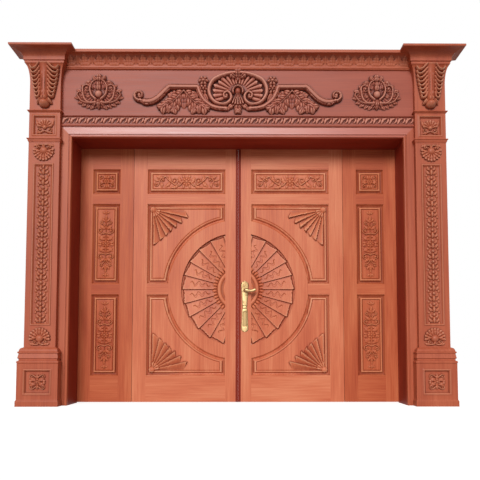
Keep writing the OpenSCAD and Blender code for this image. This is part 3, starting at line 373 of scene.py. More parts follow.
@dataclass
class Shell:
    """Closed surface: points in millimetres, four-sided faces, end faces and carved depth by point."""

    points: np.ndarray
    quads: np.ndarray
    ends: list[np.ndarray]
    hollow: np.ndarray

    def volume(self) -> float:
        """Adds up the signed tetrahedra from the origin to each triangle of the faces.

        Returns:
            The volume, below zero where the faces look inwards.
        """
        fans = [np.stack([np.full(len(end) - 2, end[0]), end[1:-1], end[2:]], 1) for end in self.ends]
        triangles = np.concatenate([self.quads[:, [0, 1, 2]], self.quads[:, [0, 2, 3]], *fans])
        a, b, c = (self.points[triangles[:, i]] for i in range(3))
        return float(np.einsum("ij,ij->i", a, np.cross(b, c)).sum()) / 6

    def build(self, name: str, dress: Dress, body: str, node: str) -> None:
        """Puts the surface into the scene as one piece.

        Args:
            name: name of the piece.
            dress: its finish.
            body: body that it moves with.
            node: node that it stands for.
        """
        if self.volume() < 0:
            self.quads = self.quads[:, ::-1]
            self.ends = [end[::-1] for end in self.ends]
        loops = np.concatenate([self.quads.ravel(), *self.ends]).astype(np.int32)
        sizes = np.array([4] * len(self.quads) + [len(end) for end in self.ends])
        starts = np.concatenate([[0], np.cumsum(sizes)[:-1]]).astype(np.int32)
        mesh = bpy.data.meshes.new(name)
        mesh.vertices.add(len(self.points))
        mesh.vertices.foreach_set("co", (self.points * MM).astype(np.float32).ravel())
        mesh.loops.add(len(loops))
        mesh.loops.foreach_set("vertex_index", loops)
        mesh.polygons.add(len(starts))
        mesh.polygons.foreach_set("loop_start", starts)
        mesh.polygons.foreach_set("use_smooth", np.ones(len(starts), dtype=bool))
        mesh.update(calc_edges=True)
        carved = mesh.attributes.new("hollow", "FLOAT", "POINT")
        carved.data.foreach_set("value", self.hollow.astype(np.float32))
        mesh.set_sharp_from_angle(angle=SHARP)
        mesh.materials.append(dress.material)
        piece = bpy.data.objects.new(name, mesh)
        bpy.context.collection.objects.link(piece)
        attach(piece, body)
        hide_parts(node)
        LOG.info("built %s: %d faces on %s", name, len(starts), body)


def grid_faces(rows: int, cols: int) -> np.ndarray:
    """Lists the four-sided faces of a grid whose points are numbered row by row.

    Args:
        rows: rows of points.
        cols: points in a row.

    Returns:
        Four point numbers a face.
    """
    index = np.arange(rows * cols).reshape(rows, cols)
    corners = (index[:-1, :-1], index[:-1, 1:], index[1:, 1:], index[1:, :-1])
    return np.stack([corner.ravel() for corner in corners], 1)


def lofted(rings: np.ndarray, hollow: np.ndarray) -> Shell:
    """Joins each closed ring to the next one and caps the first and last.

    Args:
        rings: rows of ring points, shaped (rows, points, 3).
        hollow: carved depth, shaped (rows, points).

    Returns:
        The closed surface.
    """
    rows, count = rings.shape[:2]
    index = np.arange(rows * count).reshape(rows, count)
    turned = np.roll(index, -1, axis=1)
    quads = np.stack([part.ravel() for part in (index[:-1], turned[:-1], turned[1:], index[1:])], 1)
    return Shell(rings.reshape(-1, 3), quads, [index[0][::-1], index[-1]], hollow.ravel())


def backed(front: np.ndarray, back_y: float, hollow: np.ndarray) -> Shell:
    """Closes a carved front with a flat back.

    The first and last row are repeated on the plane y = back_y; strips join them to the front, and each
    side is one flat face.

    Args:
        front: carved surface, shaped (rows, cols, 3).
        back_y: depth of the back.
        hollow: carved depth, shaped (rows, cols).

    Returns:
        The closed surface.
    """
    rows, cols = front.shape[:2]
    foot, head = front[0].copy(), front[-1].copy()
    foot[:, 1] = head[:, 1] = back_y
    points = np.concatenate([front.reshape(-1, 3), foot, head])
    index = np.arange(rows * cols).reshape(rows, cols)
    low = rows * cols + np.arange(cols)
    high = low + cols
    strips = [(low, index[0]), (index[-1], high), (high, low)]
    quads = [grid_faces(rows, cols)]
    quads += [np.stack([a[:-1], a[1:], b[1:], b[:-1]], 1) for a, b in strips]
    ends = [np.concatenate([index[:, 0], [high[0], low[0]]]),
            np.concatenate([index[::-1, -1], [low[-1], high[-1]]])]
    return Shell(points, np.concatenate(quads), ends, np.concatenate([hollow.ravel(), np.zeros(2 * cols)]))


def spline(points: Sequence[Point], steps: int = 8) -> np.ndarray:
    """Smooth path through points: a Catmull-Rom cubic between each two, with the ends repeated.

    Args:
        points: places that the path goes through.
        steps: parts between each two of them.

    Returns:
        Path points, shaped (n, 2).
    """
    p = np.asarray(points, float)
    p = np.concatenate([p[:1], p, p[-1:]])
    t = np.linspace(0, 1, steps, endpoint=False)[None, :, None]
    a, b, c, d = (p[i:len(p) - 3 + i, None] for i in range(4))
    curve = 0.5 * (2 * b + (c - a) * t + (2 * a - 5 * b + 4 * c - d) * t ** 2
                   + (3 * b - a - 3 * c + d) * t ** 3)
    return np.concatenate([curve.reshape(-1, 2), p[-1:]])


def spiral(centre: Point, r0: float, r1: float, a0: float, a1: float, steps: int = 28) -> np.ndarray:
    """Spiral path: the radius runs evenly from r0 to r1 while the angle runs from a0 to a1.

    Args:
        centre: middle of the spiral.
        r0: first radius.
        r1: last radius.
        a0: first angle in degrees, anticlockwise from +x.
        a1: last angle.
        steps: points on the path.

    Returns:
        Path points, shaped (steps, 2).
    """
    share = np.linspace(0, 1, steps)
    angle = np.radians(a0 + (a1 - a0) * share)
    radius = r0 + (r1 - r0) * share
    return np.stack([centre[0] + radius * np.cos(angle), centre[1] + radius * np.sin(angle)], 1)


def densely(outline: Sequence[Point], step: float) -> np.ndarray:
    """Adds points on each straight part of an outline, so that none is longer than the step.

    Args:
        outline: corner points.
        step: longest part allowed.

    Returns:
        Outline points, shaped (n, 2).
    """
    p = np.asarray(outline, float)
    counts = np.maximum(1, np.ceil(np.linalg.norm(np.diff(p, axis=0), axis=1) / step)).astype(int)
    parts = [a + (b - a) * np.linspace(0, 1, n, endpoint=False)[:, None]
             for a, b, n in zip(p[:-1], p[1:], counts)]
    return np.concatenate([*parts, p[-1:]])


def rounded(r_out: float, r_up: float, a0: float, a1: float, centre: Point) -> list[Point]:
    """Quarter or half oval of a moulding: stand-out follows the cosine and height the sine of the angle."""
    angles = np.radians(np.linspace(a0, a1, 17))
    return [(centre[0] + r_out * math.cos(a), centre[1] + r_up * math.sin(a)) for a in angles]


def blurred(height: np.ndarray, reach: int) -> np.ndarray:
    """Mean over a square of 2 reach + 1 grid points, from running sums along both ways of the grid.

    Args:
        height: values on the grid.
        reach: grid steps to each side.

    Returns:
        The means, on the same grid.
    """
    for axis in (0, 1):
        width = [(0, 0), (0, 0)]
        width[axis] = (reach + 1, reach)
        total = np.cumsum(np.pad(height, width, mode="edge"), axis=axis)
        size = height.shape[axis]
        far = np.take(total, np.arange(2 * reach + 1, 2 * reach + 1 + size), axis=axis)
        height = (far - np.take(total, np.arange(size), axis=axis)) / (2 * reach + 1)
    return height


REEDED = [(0, 1), (0.3, 0.97), (0.5, 0.82), (0.6, 0.56), (0.66, 0.56), (0.76, 0.8), (0.92, 0.74), (1, 0)]


class Relief:
    """Carved heights over a face, in millimetres, raised motif by motif."""

    def __init__(self, x: np.ndarray, z: np.ndarray, height: np.ndarray | None = None,
                 tone: np.ndarray | None = None) -> None:
        """Takes the grid's places; views of one relief share its heights and its painted shading.

        Args:
            x: places across.
            z: places in height.
            height: heights to share, or none for a flat face.
            tone: painted shade and highlight to share, or none for a face without them.
        """
        self.x = x
        self.z = z
        self.height = np.zeros_like(x) if height is None else height
        self.tone = np.zeros_like(x) if tone is None else tone

    def folded(self, x: float, z: float, up: bool = False) -> "Relief":
        """View about a centre, folded so that what is drawn at its left shows at both sides.

        Args:
            x: centre across.
            z: centre in height.
            up: folds the lower half onto the upper too.

        Returns:
            A view on the same heights.
        """
        local_z = self.z - z
        return Relief(-np.abs(self.x - x), np.abs(local_z) if up else local_z, self.height, self.tone)

    def repeated(self, x: float, z: float, pitch: float) -> "Relief":
        """View that repeats every pitch along x from the given start, centred in each repeat."""
        return Relief((self.x - x) % pitch - pitch / 2, self.z - z, self.height, self.tone)

    def flipped(self) -> "Relief":
        """View turned upside down."""
        return Relief(self.x, -self.z, self.height, self.tone)

    def _near(self, low: Sequence[float], high: Sequence[float]) -> np.ndarray:
        """Marks the grid points inside a box."""
        return (self.x > low[0]) & (self.x < high[0]) & (self.z > low[1]) & (self.z < high[1])

    def _lift(self, near: np.ndarray, value: np.ndarray, base: float) -> None:
        """Raises marked points to base plus value wherever the value is above zero."""
        old = self.height[near]
        self.height[near] = np.where(value > 0, np.maximum(old, base + value), old)

    def leaf(self, root: Point, tip: Point, width: float, rise: float,
             bend: float = 0.0, teeth: int = 0, base: float = 0.0) -> None:
        """Carves a leaf from root to tip.

        With u from 0 to 1 along it, the half width is half of width times sin(pi u^0.8)^0.75, cut in between
        teeth. Height is a half round across, swelling along, less a groove on the midrib and between teeth.

        Args:
            root: start.
            tip: end.
            width: greatest width.
            rise: greatest height.
            bend: sideways bow as a share of the length.
            teeth: lobes along each edge.
            base: height that the leaf stands on.
        """
        root, tip = np.asarray(root, float), np.asarray(tip, float)
        length = float(np.hypot(*(tip - root)))
        along = (tip - root) / length
        room = width + abs(bend) * length
        near = self._near(np.minimum(root, tip) - room, np.maximum(root, tip) + room)
        dx, dz = self.x[near] - root[0], self.z[near] - root[1]
        raw = (dx * along[0] + dz * along[1]) / length
        u = np.clip(raw, 0, 1)
        offset = dz * along[0] - dx * along[1] - bend * length * np.sin(np.pi * u)
        half = 0.5 * width * np.sin(np.pi * u ** 0.8) ** 0.75
        if teeth:
            half = half * (1 - 0.3 * (1 - np.abs(np.sin(np.pi * teeth * u))) ** 2)
        v = np.abs(offset) / np.maximum(half, 0.01)
        dome = np.sqrt(np.clip(1 - v ** 2, 0, 1))
        value = rise * dome * (0.4 + 0.6 * np.sin(np.pi * np.clip(0.92 * u + 0.06, 0, 1)))
        value = value - 0.24 * rise * np.exp(-(offset / (0.075 * width)) ** 2) * (dome > 0)
        if teeth:
            between = (1 - np.abs(np.sin(np.pi * teeth * (u - 0.06 * v)))) ** 2
            value = value - 0.16 * rise * between * (dome > 0)
        self._lift(near, np.where((raw > 0) & (raw < 1) & (v < 1), value, 0), base)

    def band(self, path: np.ndarray, width: float, rise: float, start: float = 1.0, finish: float = 1.0,
             reeded: bool = False, base: float = 0.0) -> None:
        """Carves a band along a path.

        Height depends on the distance to the path over the half width: a half round, or a round between two
        fillets where it is reeded. Width and height go evenly from the start share to the finish share.

        Args:
            path: points of the path.
            width: full width.
            rise: height on the path.
            start: share of the width at the first point.
            finish: share of the width at the last point.
            reeded: carves fillets along the edges.
            base: height that the band stands on.
        """
        near = self._near(path.min(0) - width, path.max(0) + width)
        px, pz = self.x[near], self.z[near]
        nearest = np.full(px.shape, np.inf)
        along = np.zeros(px.shape)
        lengths = np.linalg.norm(np.diff(path, axis=0), axis=1)
        reached = np.concatenate([[0], np.cumsum(lengths)])
        for a, b, before, length in zip(path[:-1], path[1:], reached, lengths):
            step = b - a
            t = np.clip(((px - a[0]) * step[0] + (pz - a[1]) * step[1]) / max(length ** 2, 1e-6), 0, 1)
            away = np.hypot(px - a[0] - t * step[0], pz - a[1] - t * step[1])
            closer = away < nearest
            nearest = np.where(closer, away, nearest)
            along = np.where(closer, before + t * length, along)
        share = start + (finish - start) * along / reached[-1]
        v = nearest / (0.5 * width * share)
        if reeded:
            shape = np.interp(v, *np.transpose(REEDED))
        else:
            shape = np.sqrt(np.clip(1 - v ** 2, 0, 1))
        self._lift(near, np.where(v < 1, rise * (0.4 + 0.6 * share) * shape, 0), base)

    def boss(self, centre: Point, r: float, rise: float, stretch: float = 1.0, base: float = 0.0) -> None:
        """Carves a dome: the height is a half round over the distance, with the upright radius stretched.

        Args:
            centre: its middle.
            r: radius across.
            rise: height in the middle.
            stretch: upright radius over the one across.
            base: height that the dome stands on.
        """
        near = self._near((centre[0] - r, centre[1] - r * stretch), (centre[0] + r, centre[1] + r * stretch))
        away = np.hypot(self.x[near] - centre[0], (self.z[near] - centre[1]) / stretch) / r
        self._lift(near, rise * np.sqrt(np.clip(1 - away ** 2, 0, 1)), base)

    def rosette(self, centre: Point, r: float, petals: int, rise: float, base: float = 0.0) -> None:
        """Carves a flower: the edge swells by |cos(petals a / 2)|, petals are half rounds round a button.

        Args:
            centre: its middle.
            r: radius over the petals.
            petals: how many.
            rise: greatest height.
            base: height that the flower stands on.
        """
        near = self._near((centre[0] - r, centre[1] - r), (centre[0] + r, centre[1] + r))
        dx, dz = self.x[near] - centre[0], self.z[near] - centre[1]
        swell = np.abs(np.cos(petals * np.arctan2(dz, dx) / 2))
        away = np.hypot(dx, dz)
        edge = r * (0.68 + 0.32 * swell)
        value = rise * np.sqrt(np.clip(1 - (away / edge) ** 2, 0, 1)) * (0.45 + 0.55 * swell)
        value = value - 0.3 * rise * np.exp(-((away - 0.36 * r) / (0.09 * r)) ** 2)
        self._lift(near, np.where(away < edge, value, 0), base)
        self.boss(centre, 0.28 * r, rise, base=base)

    def fan(self, centre: Point, r0: float, r1: float, a0: float, a1: float, blades: int, rise: float,
            pleated: bool = False, base: float = 0.0) -> None:
        """Carves blades between two angles.

        With v from -1 to 1 across a blade, ribs are half rounds that end on r1 (1 - 0.12 v^2). Pleated blades
        rise from one edge to the other, end in a slant, take painted shade along the low edge and a painted
        highlight along the high one, and are shorter by a quarter in the middle of the fan.

        Args:
            centre: point that the blades start from.
            r0: inner radius.
            r1: outer radius.
            a0: first angle in degrees, anticlockwise from +x.
            a1: last angle.
            blades: how many.
            rise: height of a blade.
            pleated: tilted blades with sharp edges.
            base: height that the fan stands on.
        """
        near = self._near((centre[0] - r1, centre[1] - r1), (centre[0] + r1, centre[1] + r1))
        dx, dz = self.x[near] - centre[0], self.z[near] - centre[1]
        away = np.hypot(dx, dz)
        turned = (np.degrees(np.arctan2(dz, dx)) - (a0 + a1) / 2 + 180) % 360 - 180 + (a1 - a0) / 2
        cell = turned / (a1 - a0) * blades
        v = 2 * (cell % 1) - 1
        if pleated:
            waist = 0.25 * (1 - (2 * (np.floor(cell) + 0.5) / blades - 1) ** 2)
            end = r1 * (1 - waist) * (0.93 + 0.07 * v)
            across = 0.08 + 0.92 * (0.5 + 0.5 * v) ** 1.5
        else:
            end = r1 * (1 - 0.12 * v ** 2)
            across = np.sqrt(np.clip(1 - v ** 2, 0, 1))
        grow = np.clip((away - r0) / (end - r0), 0, 1)
        value = rise * across * (0.5 + 0.5 * np.sin(np.pi * (0.08 + 0.5 * grow)))
        inside = (away > r0) & (away < end) & (cell > 0) & (cell < blades)
        self._lift(near, np.where(inside, value, 0), base)
        if pleated:
            # Painted shade along each pleated blade's low edge and painted highlight along its high edge.
            self.tone[near] = np.where(inside, 0.3 - 0.95 * (0.5 - 0.5 * v) ** 1.5, self.tone[near])

    def scroll(self, path: Sequence[Point], eye: Point, r: float, a0: float, a1: float,
               width: float, rise: float, reeded: bool = False, base: float = 0.0) -> None:
        """Carves a band along a smooth path that winds into an eye, with a button in the eye.

        Args:
            path: points that the band goes through before it winds in.
            eye: centre of the winding.
            r: radius where the winding starts.
            a0: angle in degrees where it starts.
            a1: angle where it ends.
            width: width of the band.
            rise: its height.
            reeded: carves fillets along its edges.
            base: height that it stands on.
        """
        wound = spiral(eye, r, 0.3 * r, a0, a1)
        lead = spline([*path, tuple(wound[0])])
        self.band(np.concatenate([lead[:-1], wound]), width, rise, 1.0, 0.5, reeded, base)
        self.boss(eye, 0.34 * r, 0.95 * rise, base=base)

    def acanthus(self, root: Point, tip: Point, width: float, rise: float,
                 lobes: int = 5, bend: float = 0.0, base: float = 0.0) -> None:
        """Carves an acanthus leaf: paired lobes set along a bowed rib, each leaning towards the tip.

        Args:
            root: start of the rib.
            tip: end of the rib.
            width: greatest width over the lobes.
            rise: greatest height.
            lobes: pairs of lobes.
            bend: sideways bow as a share of the length.
            base: height that the leaf stands on.
        """
        root, tip = np.asarray(root, float), np.asarray(tip, float)
        length = float(np.hypot(*(tip - root)))
        along = (tip - root) / length
        aside = np.array([-along[1], along[0]])
        t = np.linspace(0, 1, 12)[:, None]
        rib = root + along * length * t + aside * bend * length * np.sin(np.pi * t)
        for i in range(lobes):
            share = (i + 0.4) / lobes
            start = root + along * length * 0.86 * share + aside * bend * length * math.sin(math.pi * share)
            lean = math.radians(58 - 22 * share)
            reach = 0.5 * width * math.sin(math.pi * (0.22 + 0.62 * share)) ** 0.7 / math.sin(lean)
            for hand in (1, -1):
                end = start + reach * (math.cos(lean) * along + hand * math.sin(lean) * aside)
                self.leaf(start, end, 1.15 * length / lobes, rise * (0.8 + 0.1 * share), -0.1 * hand, 0, base)
        self.leaf(root + 0.62 * (tip - root), tip, 0.42 * width, 0.95 * rise, 0, 0, base)
        self.band(rib, 0.13 * width, 1.05 * rise, 1, 0.4, False, base)

    def sink(self, inside: np.ndarray, knots: Sequence[Point]) -> None:
        """Sets the height by the distance inside an edge, straight between knots of distance and height."""
        distance, level = np.asarray(knots, float).T
        self.height[...] = np.interp(inside, distance, level)

    def stained(self, inside: np.ndarray, knots: Sequence[Point]) -> None:
        """Paints shade and highlight by the distance inside an edge, straight between knots of distance and
        painted tone.
        """
        distance, level = np.asarray(knots, float).T
        self.tone[...] = np.interp(inside, distance, level)

    def hollow(self, step: float, stain: float = 0.0, gain: float = 1.0) -> np.ndarray:
        """Gives painted shade to hollows and painted highlight to proud places: height less its mean over
        about 5 mm and about 17 mm, plus the painted tone.

        Args:
            step: millimetres that one grid step counts for in the means.
            stain: how much darker all raised carving is drawn.
            gain: how strongly the painted shade and highlight show; deep carving needs more.

        Returns:
            Values from -1 in a hollow to 1 on a proud edge, which the finishes paint as shade and highlight.
        """
        near = self.height - blurred(self.height, max(1, round(5 / step)))
        wide = self.height - blurred(self.height, max(2, round(17 / step)))
        # Painted shade in hollows and painted highlight on proud places, plus the painted tone; raised
        # carving is drawn darker overall.
        return np.clip(gain * (near / 3.5 + wide / 16) + self.tone - stain * (self.height > 2), -1, 1)


SUNK_SQUARE = [(-12, 0), (-9, 4), (-4, 5), (0, 3), (3, -4), (9, -12), (30, -12)]


def inside_box(x: np.ndarray, z: np.ndarray, half_w: float, half_h: float) -> np.ndarray:
    """Distance inside a rectangle about the origin: the smaller of the ways to its nearest sides."""
    return np.minimum(half_w - np.abs(x), half_h - np.abs(z))


@dataclass
class Pilaster:
    """Pilaster of one side: plinth, base, carved shaft, capital, acanthus block and crown."""

    side: Side
    wardrobe: Wardrobe
    shaft_out: float = 40.0
    plinth_out: float = 36.0
    skirting_out: float = 6.0
    skirting_h: float = 51.0
    sunk_d: float = 12.0
    vine_w: float = 136.0
    shell_zone: float = 186.0
    neck_h: float = 38.0
    ring_h: float = 25.0
    ring_out: float = 14.0
    flare_out: float = 34.0
    crown_out: float = 125.0
    least_out: float = 0.05
    edge_fade: float = 40.0
    stain_gain: float = 0.62
    step: float = 4.2
    shaft: Extent = field(init=False)

    def __post_init__(self) -> None:
        """Reads the places of the shaft from the right-hand nodes."""
        self.shaft = Extent.of("right_pilaster")
        self.face_y = Extent.of("right_casing").y0
        self.wall_y = self.shaft.y1
        self.shaft_y = self.face_y - self.shaft_out
        self.half = (self.shaft.x1 - self.shaft.x0) / 2
        self.middle = (self.shaft.x1 + self.shaft.x0) / 2

    def block(self, part: str, outline: Sequence[Point], carve: Callable[[Relief], None]) -> None:
        """Builds one block of the pilaster.

        Each row of the outline gives a stand-out and a height. The row is a ring: the front spans the shaft's
        half width plus the stand-out, carved by the relief, and the ring returns along the wall, with a notch
        round the casing.

        Args:
            part: node name without its side.
            outline: stand-out and height, from the foot up.
            carve: draws the relief, with x from the middle of the shaft.
        """
        rows = densely(outline, self.step)
        out, z = np.maximum(rows[:, 0], self.least_out)[:, None], rows[:, 1][:, None]
        cols = int(2 * (self.half + out.max()) / self.step)
        x = (self.half + out) * np.linspace(-1, 1, cols)
        z = np.repeat(z, cols, axis=1)
        relief = Relief(x, z)
        carve(relief)
        relief.height *= np.clip((1 - np.abs(np.linspace(-1, 1, cols))) * self.edge_fade, 0, 1)
        front = np.stack([self.middle + x, self.shaft_y - out - relief.height, z], 2)
        inner, outer = front[:, 0, 0], front[:, -1, 0]
        notch = np.full_like(inner, self.shaft.x0)
        turns = [(outer, self.wall_y), (notch, self.wall_y), (notch, self.face_y), (inner, self.face_y)]
        back = np.stack([np.stack([bx, np.full_like(bx, by), z[:, 0]], 1) for bx, by in turns], 1)
        rings = np.concatenate([front, back], 1)
        rings[:, :, 0] *= self.side.value
        hollow = np.pad(relief.hollow(self.step, gain=self.stain_gain), ((0, 0), (0, len(turns))))
        node = f"{self.side.word}_{part}"
        lofted(rings, hollow).build(f"carved_{node}", self.wardrobe.frame(), "frame", node)

    def plinth(self) -> None:
        """Plinth with a skirting and a sunk square that holds a flower between corner leaves."""
        box = Extent.of("right_plinth")
        lip = self.plinth_out + self.skirting_out
        outline = [(lip, 0), (lip, self.skirting_h * 0.8), (lip - 2, self.skirting_h * 0.9),
                   (self.plinth_out, self.skirting_h), (self.plinth_out, box.z1)]
        height = box.z1 - self.skirting_h
        half_w, half_h = 0.31 * 2 * (self.half + self.plinth_out), 0.32 * height

        def carve(relief: Relief) -> None:
            """Draws the sunk square.

            Args:
                relief: heights to draw on.
            """
            view = relief.folded(0, self.skirting_h + height / 2, up=True)
            view.sink(inside_box(view.x, view.z, half_w, half_h), SUNK_SQUARE)
            floor = -self.sunk_d
            view.leaf((-10, 16), (-56, 30), 34, 15, 0.12, 3, floor)
            view.scroll([(-6, 34), (-30, 52)], (-44, 40), 16, 70, 420, 11, 15, False, floor)
            view.leaf((0, 18), (0, 62), 26, 17, 0, 3, floor)
            view.leaf((-40, 6), (-66, 10), 22, 14, 0, 0, floor)
            view.rosette((0, 0), 30, 7, 18, floor)

        self.block("plinth", outline, carve)

    def base(self) -> None:
        """Base moulding: a bead, a sloping face, a fillet and a quarter round up to the shaft."""
        box = Extent.of("right_base_moulding")
        h, z = box.z1 - box.z0, box.z0
        notch = self.plinth_out / 5
        proud = self.plinth_out - notch / 3
        held, foot = proud - notch, notch / 2
        outline = [(proud, z), *rounded(0.7 * notch, 0.08 * h, -90, 90, (proud, z + 0.1 * h)),
                   (held, z + 0.2 * h), (held, z + 0.3 * h), (proud, z + 0.34 * h), (held, z + 0.62 * h),
                   (proud, z + 0.66 * h), (proud, z + 0.73 * h),
                   *rounded(held - foot, 0.23 * h, 0, 90, (foot, z + 0.75 * h)), (foot, z + h)]
        self.block("base_moulding", outline, lambda relief: None)

    def carved_shaft(self) -> None:
        """Shaft with a chain of husks in a sunk panel edged by a bead, and a shell at each end."""
        z0, z1 = self.shaft.z0, self.shaft.z1
        panel_h = z1 - z0 - 2 * self.shell_zone
        pitch = panel_h / round(panel_h / 86)

        def carve(relief: Relief) -> None:
            """Draws the panel, the husks and the shells.

            Args:
                relief: heights to draw on.
            """
            middle = relief.folded(0, (z0 + z1) / 2)
            middle.sink(inside_box(middle.x, middle.z, self.vine_w / 2, panel_h / 2),
                        [(-13, 0), (-11, 5), (-7, 6.5), (-3, 5), (0, 0), (4, -6), (10, -8), (30, -8)])
            low = z0 + self.shell_zone
            chain = Relief(-np.abs(relief.x), (relief.z - low) % pitch, relief.height)
            held = (relief.z < low) | (relief.z > low + panel_h)
            chain.z[held] = -1e4
            for lift in (-pitch, 0, pitch):
                chain.leaf((-7, 14 + lift), (-41, 0.58 * pitch + lift), 25, 17, 0.14, 2, -10)
                chain.leaf((-7, 0.52 * pitch + lift), (-31, 1.0 * pitch + lift), 22, 16, 0.16, 2, -10)
                chain.boss((0, 0.36 * pitch + lift), 11, 21, 2.4, -10)
                chain.boss((0, 0.86 * pitch + lift), 9, 17, 1.5, -10)
                chain.boss((-40, 0.06 * pitch + lift), 9, 13, 1.2, -10)
            for view in (relief.folded(0, z0 + 12), relief.folded(0, z1 - 12).flipped()):
                view.fan((0, 58), 36, 84, -14, 194, 11, 15)
                view.fan((0, 58), 20, 60, -6, 186, 7, 18)
                view.boss((0, 58), 30, 24)
                view.scroll([(-6, 14), (-24, 10)], (-40, 28), 18, -90, -420, 13, 16)
                view.leaf((-34, 14), (-82, 22), 24, 13, 0.1, 2)
                view.leaf((0, 10), (0, 42), 24, 18)

        self.block("pilaster", [(0, z0), (0, z1)], carve)

    def capital(self) -> None:
        """Capital: neck ring, a sunk square with a shell, and an upper ring."""
        box = Extent.of("right_capital")
        neck, top = self.neck_h, box.z1
        foot, head = box.z0 + neck, box.z1 - self.ring_h
        ring = self.ring_out
        outline = [(2, box.z0), (2, box.z0 + 0.12 * neck),
                   *rounded(0.4 * ring, 0.36 * neck, -90, 0, (0.08 * ring, box.z0 + 0.5 * neck)),
                   *rounded(0.4 * ring, 0.14 * neck, -90, 90, (0.6 * ring, box.z0 + 0.74 * neck)), (0, foot),
                   (0, head), (0.7 * ring, head + 0.35 * self.ring_h),
                   *rounded(0.4 * ring, 0.2 * self.ring_h, -90, 90, (0.6 * ring, head + 0.62 * self.ring_h)),
                   (2, top)]
        half_w, half_h = 0.7 * self.half, 0.37 * (head - foot)

        def carve(relief: Relief) -> None:
            """Draws the sunk square with its shell.

            Args:
                relief: heights to draw on.
            """
            view = relief.folded(0, (foot + head) / 2)
            view.sink(inside_box(view.x, view.z, half_w, half_h), SUNK_SQUARE)
            view.fan((0, -14), 16, 62, 0, 180, 7, 16, False, -self.sunk_d)
            view.boss((0, -14), 18, 20, 1, -self.sunk_d)
            view.scroll([(-6, -48), (-26, -52)], (-40, -34), 18, -90, -420, 12, 16, False, -self.sunk_d)
            view.leaf((-18, -56), (-66, -58), 20, 12, 0, 0, -self.sunk_d)
            view.leaf((-52, -10), (-70, 48), 22, 12, 0, 0, -self.sunk_d)

        self.block("capital", outline, carve)

    def corner_block(self) -> None:
        """Block that flares under the crown, with a hanging acanthus leaf on its front."""
        box = Extent.of("right_corner_block")
        height = box.z1 - box.z0
        rise = 0.42 * height
        last = math.sin(math.radians(100))
        flare = [(self.flare_out * (1 + math.cos(a)), box.z1 - rise + rise * math.sin(a) / last)
                 for a in np.radians(np.linspace(180, 100, 24))]
        outline = [(0, box.z0), *flare]
        half = 0.44 * 2 * self.half

        def carve(relief: Relief) -> None:
            """Draws the leaf from the top down: lobes that curl out and up, three ribs and a rolled tip.

            Args:
                relief: heights to draw on.
            """
            view = relief.folded(0, box.z1)
            view.leaf((0, 30), (0, -1.04 * height), 1.25 * half, 12)
            for t in np.linspace(0, 1, 8):
                z = -height * (0.07 + 0.62 * t)
                reach = half * (1.04 - 0.36 * t ** 1.3)
                lobe = spline([(-0.3 * half, z + 20), (-0.56 * reach, z - 8), (-0.86 * reach, z - 14),
                               (-reach, z + 8)])
                view.band(lobe, 31, 48 - 6 * t, 1.0, 0.4)
            view.band(np.array([(0.0, 4), (0, -0.80 * height)]), 96, 48, 1, 0.75)
            view.band(np.array([(-16.0, 0), (-10, -0.70 * height)]), 7, 51)
            view.leaf((0, -0.60 * height), (0, -0.92 * height), 66, 52, 0, 3)
            view.boss((0, -0.875 * height), 42, 56, 0.85)
            view.leaf((-26, -0.74 * height), (-62, -0.88 * height), 36, 42, 0.12)
            top_fade = np.clip((box.z1 - relief.z) / 6, 0, 1)
            relief.height *= top_fade

        self.block("corner_block", outline, carve)

    def crown(self) -> None:
        """Crown: fillets, a hollow sweeping out and a flat band, all uncarved."""
        box = Extent.of("right_crown")
        h, z = box.z1 - box.z0, box.z0
        out = self.flare_out
        sweep = self.crown_out - out - 12
        outline = [(out - 6, z), (out, z + 6), (out, z + 22), (out + 8, z + 26), (out + 8, z + 42),
                   *[(out + 8 + sweep * (1 + math.cos(a)), z + 46 + (h - 64) * math.sin(a))
                     for a in np.radians(np.linspace(180, 90, 24))],
                   (self.crown_out, box.z1 - 14), (self.crown_out, box.z1)]
        self.block("crown", outline, lambda relief: None)

    def build(self) -> None:
        """Builds every block from the floor up."""
        for part in (self.plinth, self.base, self.carved_shaft, self.capital, self.corner_block, self.crown):
            part()


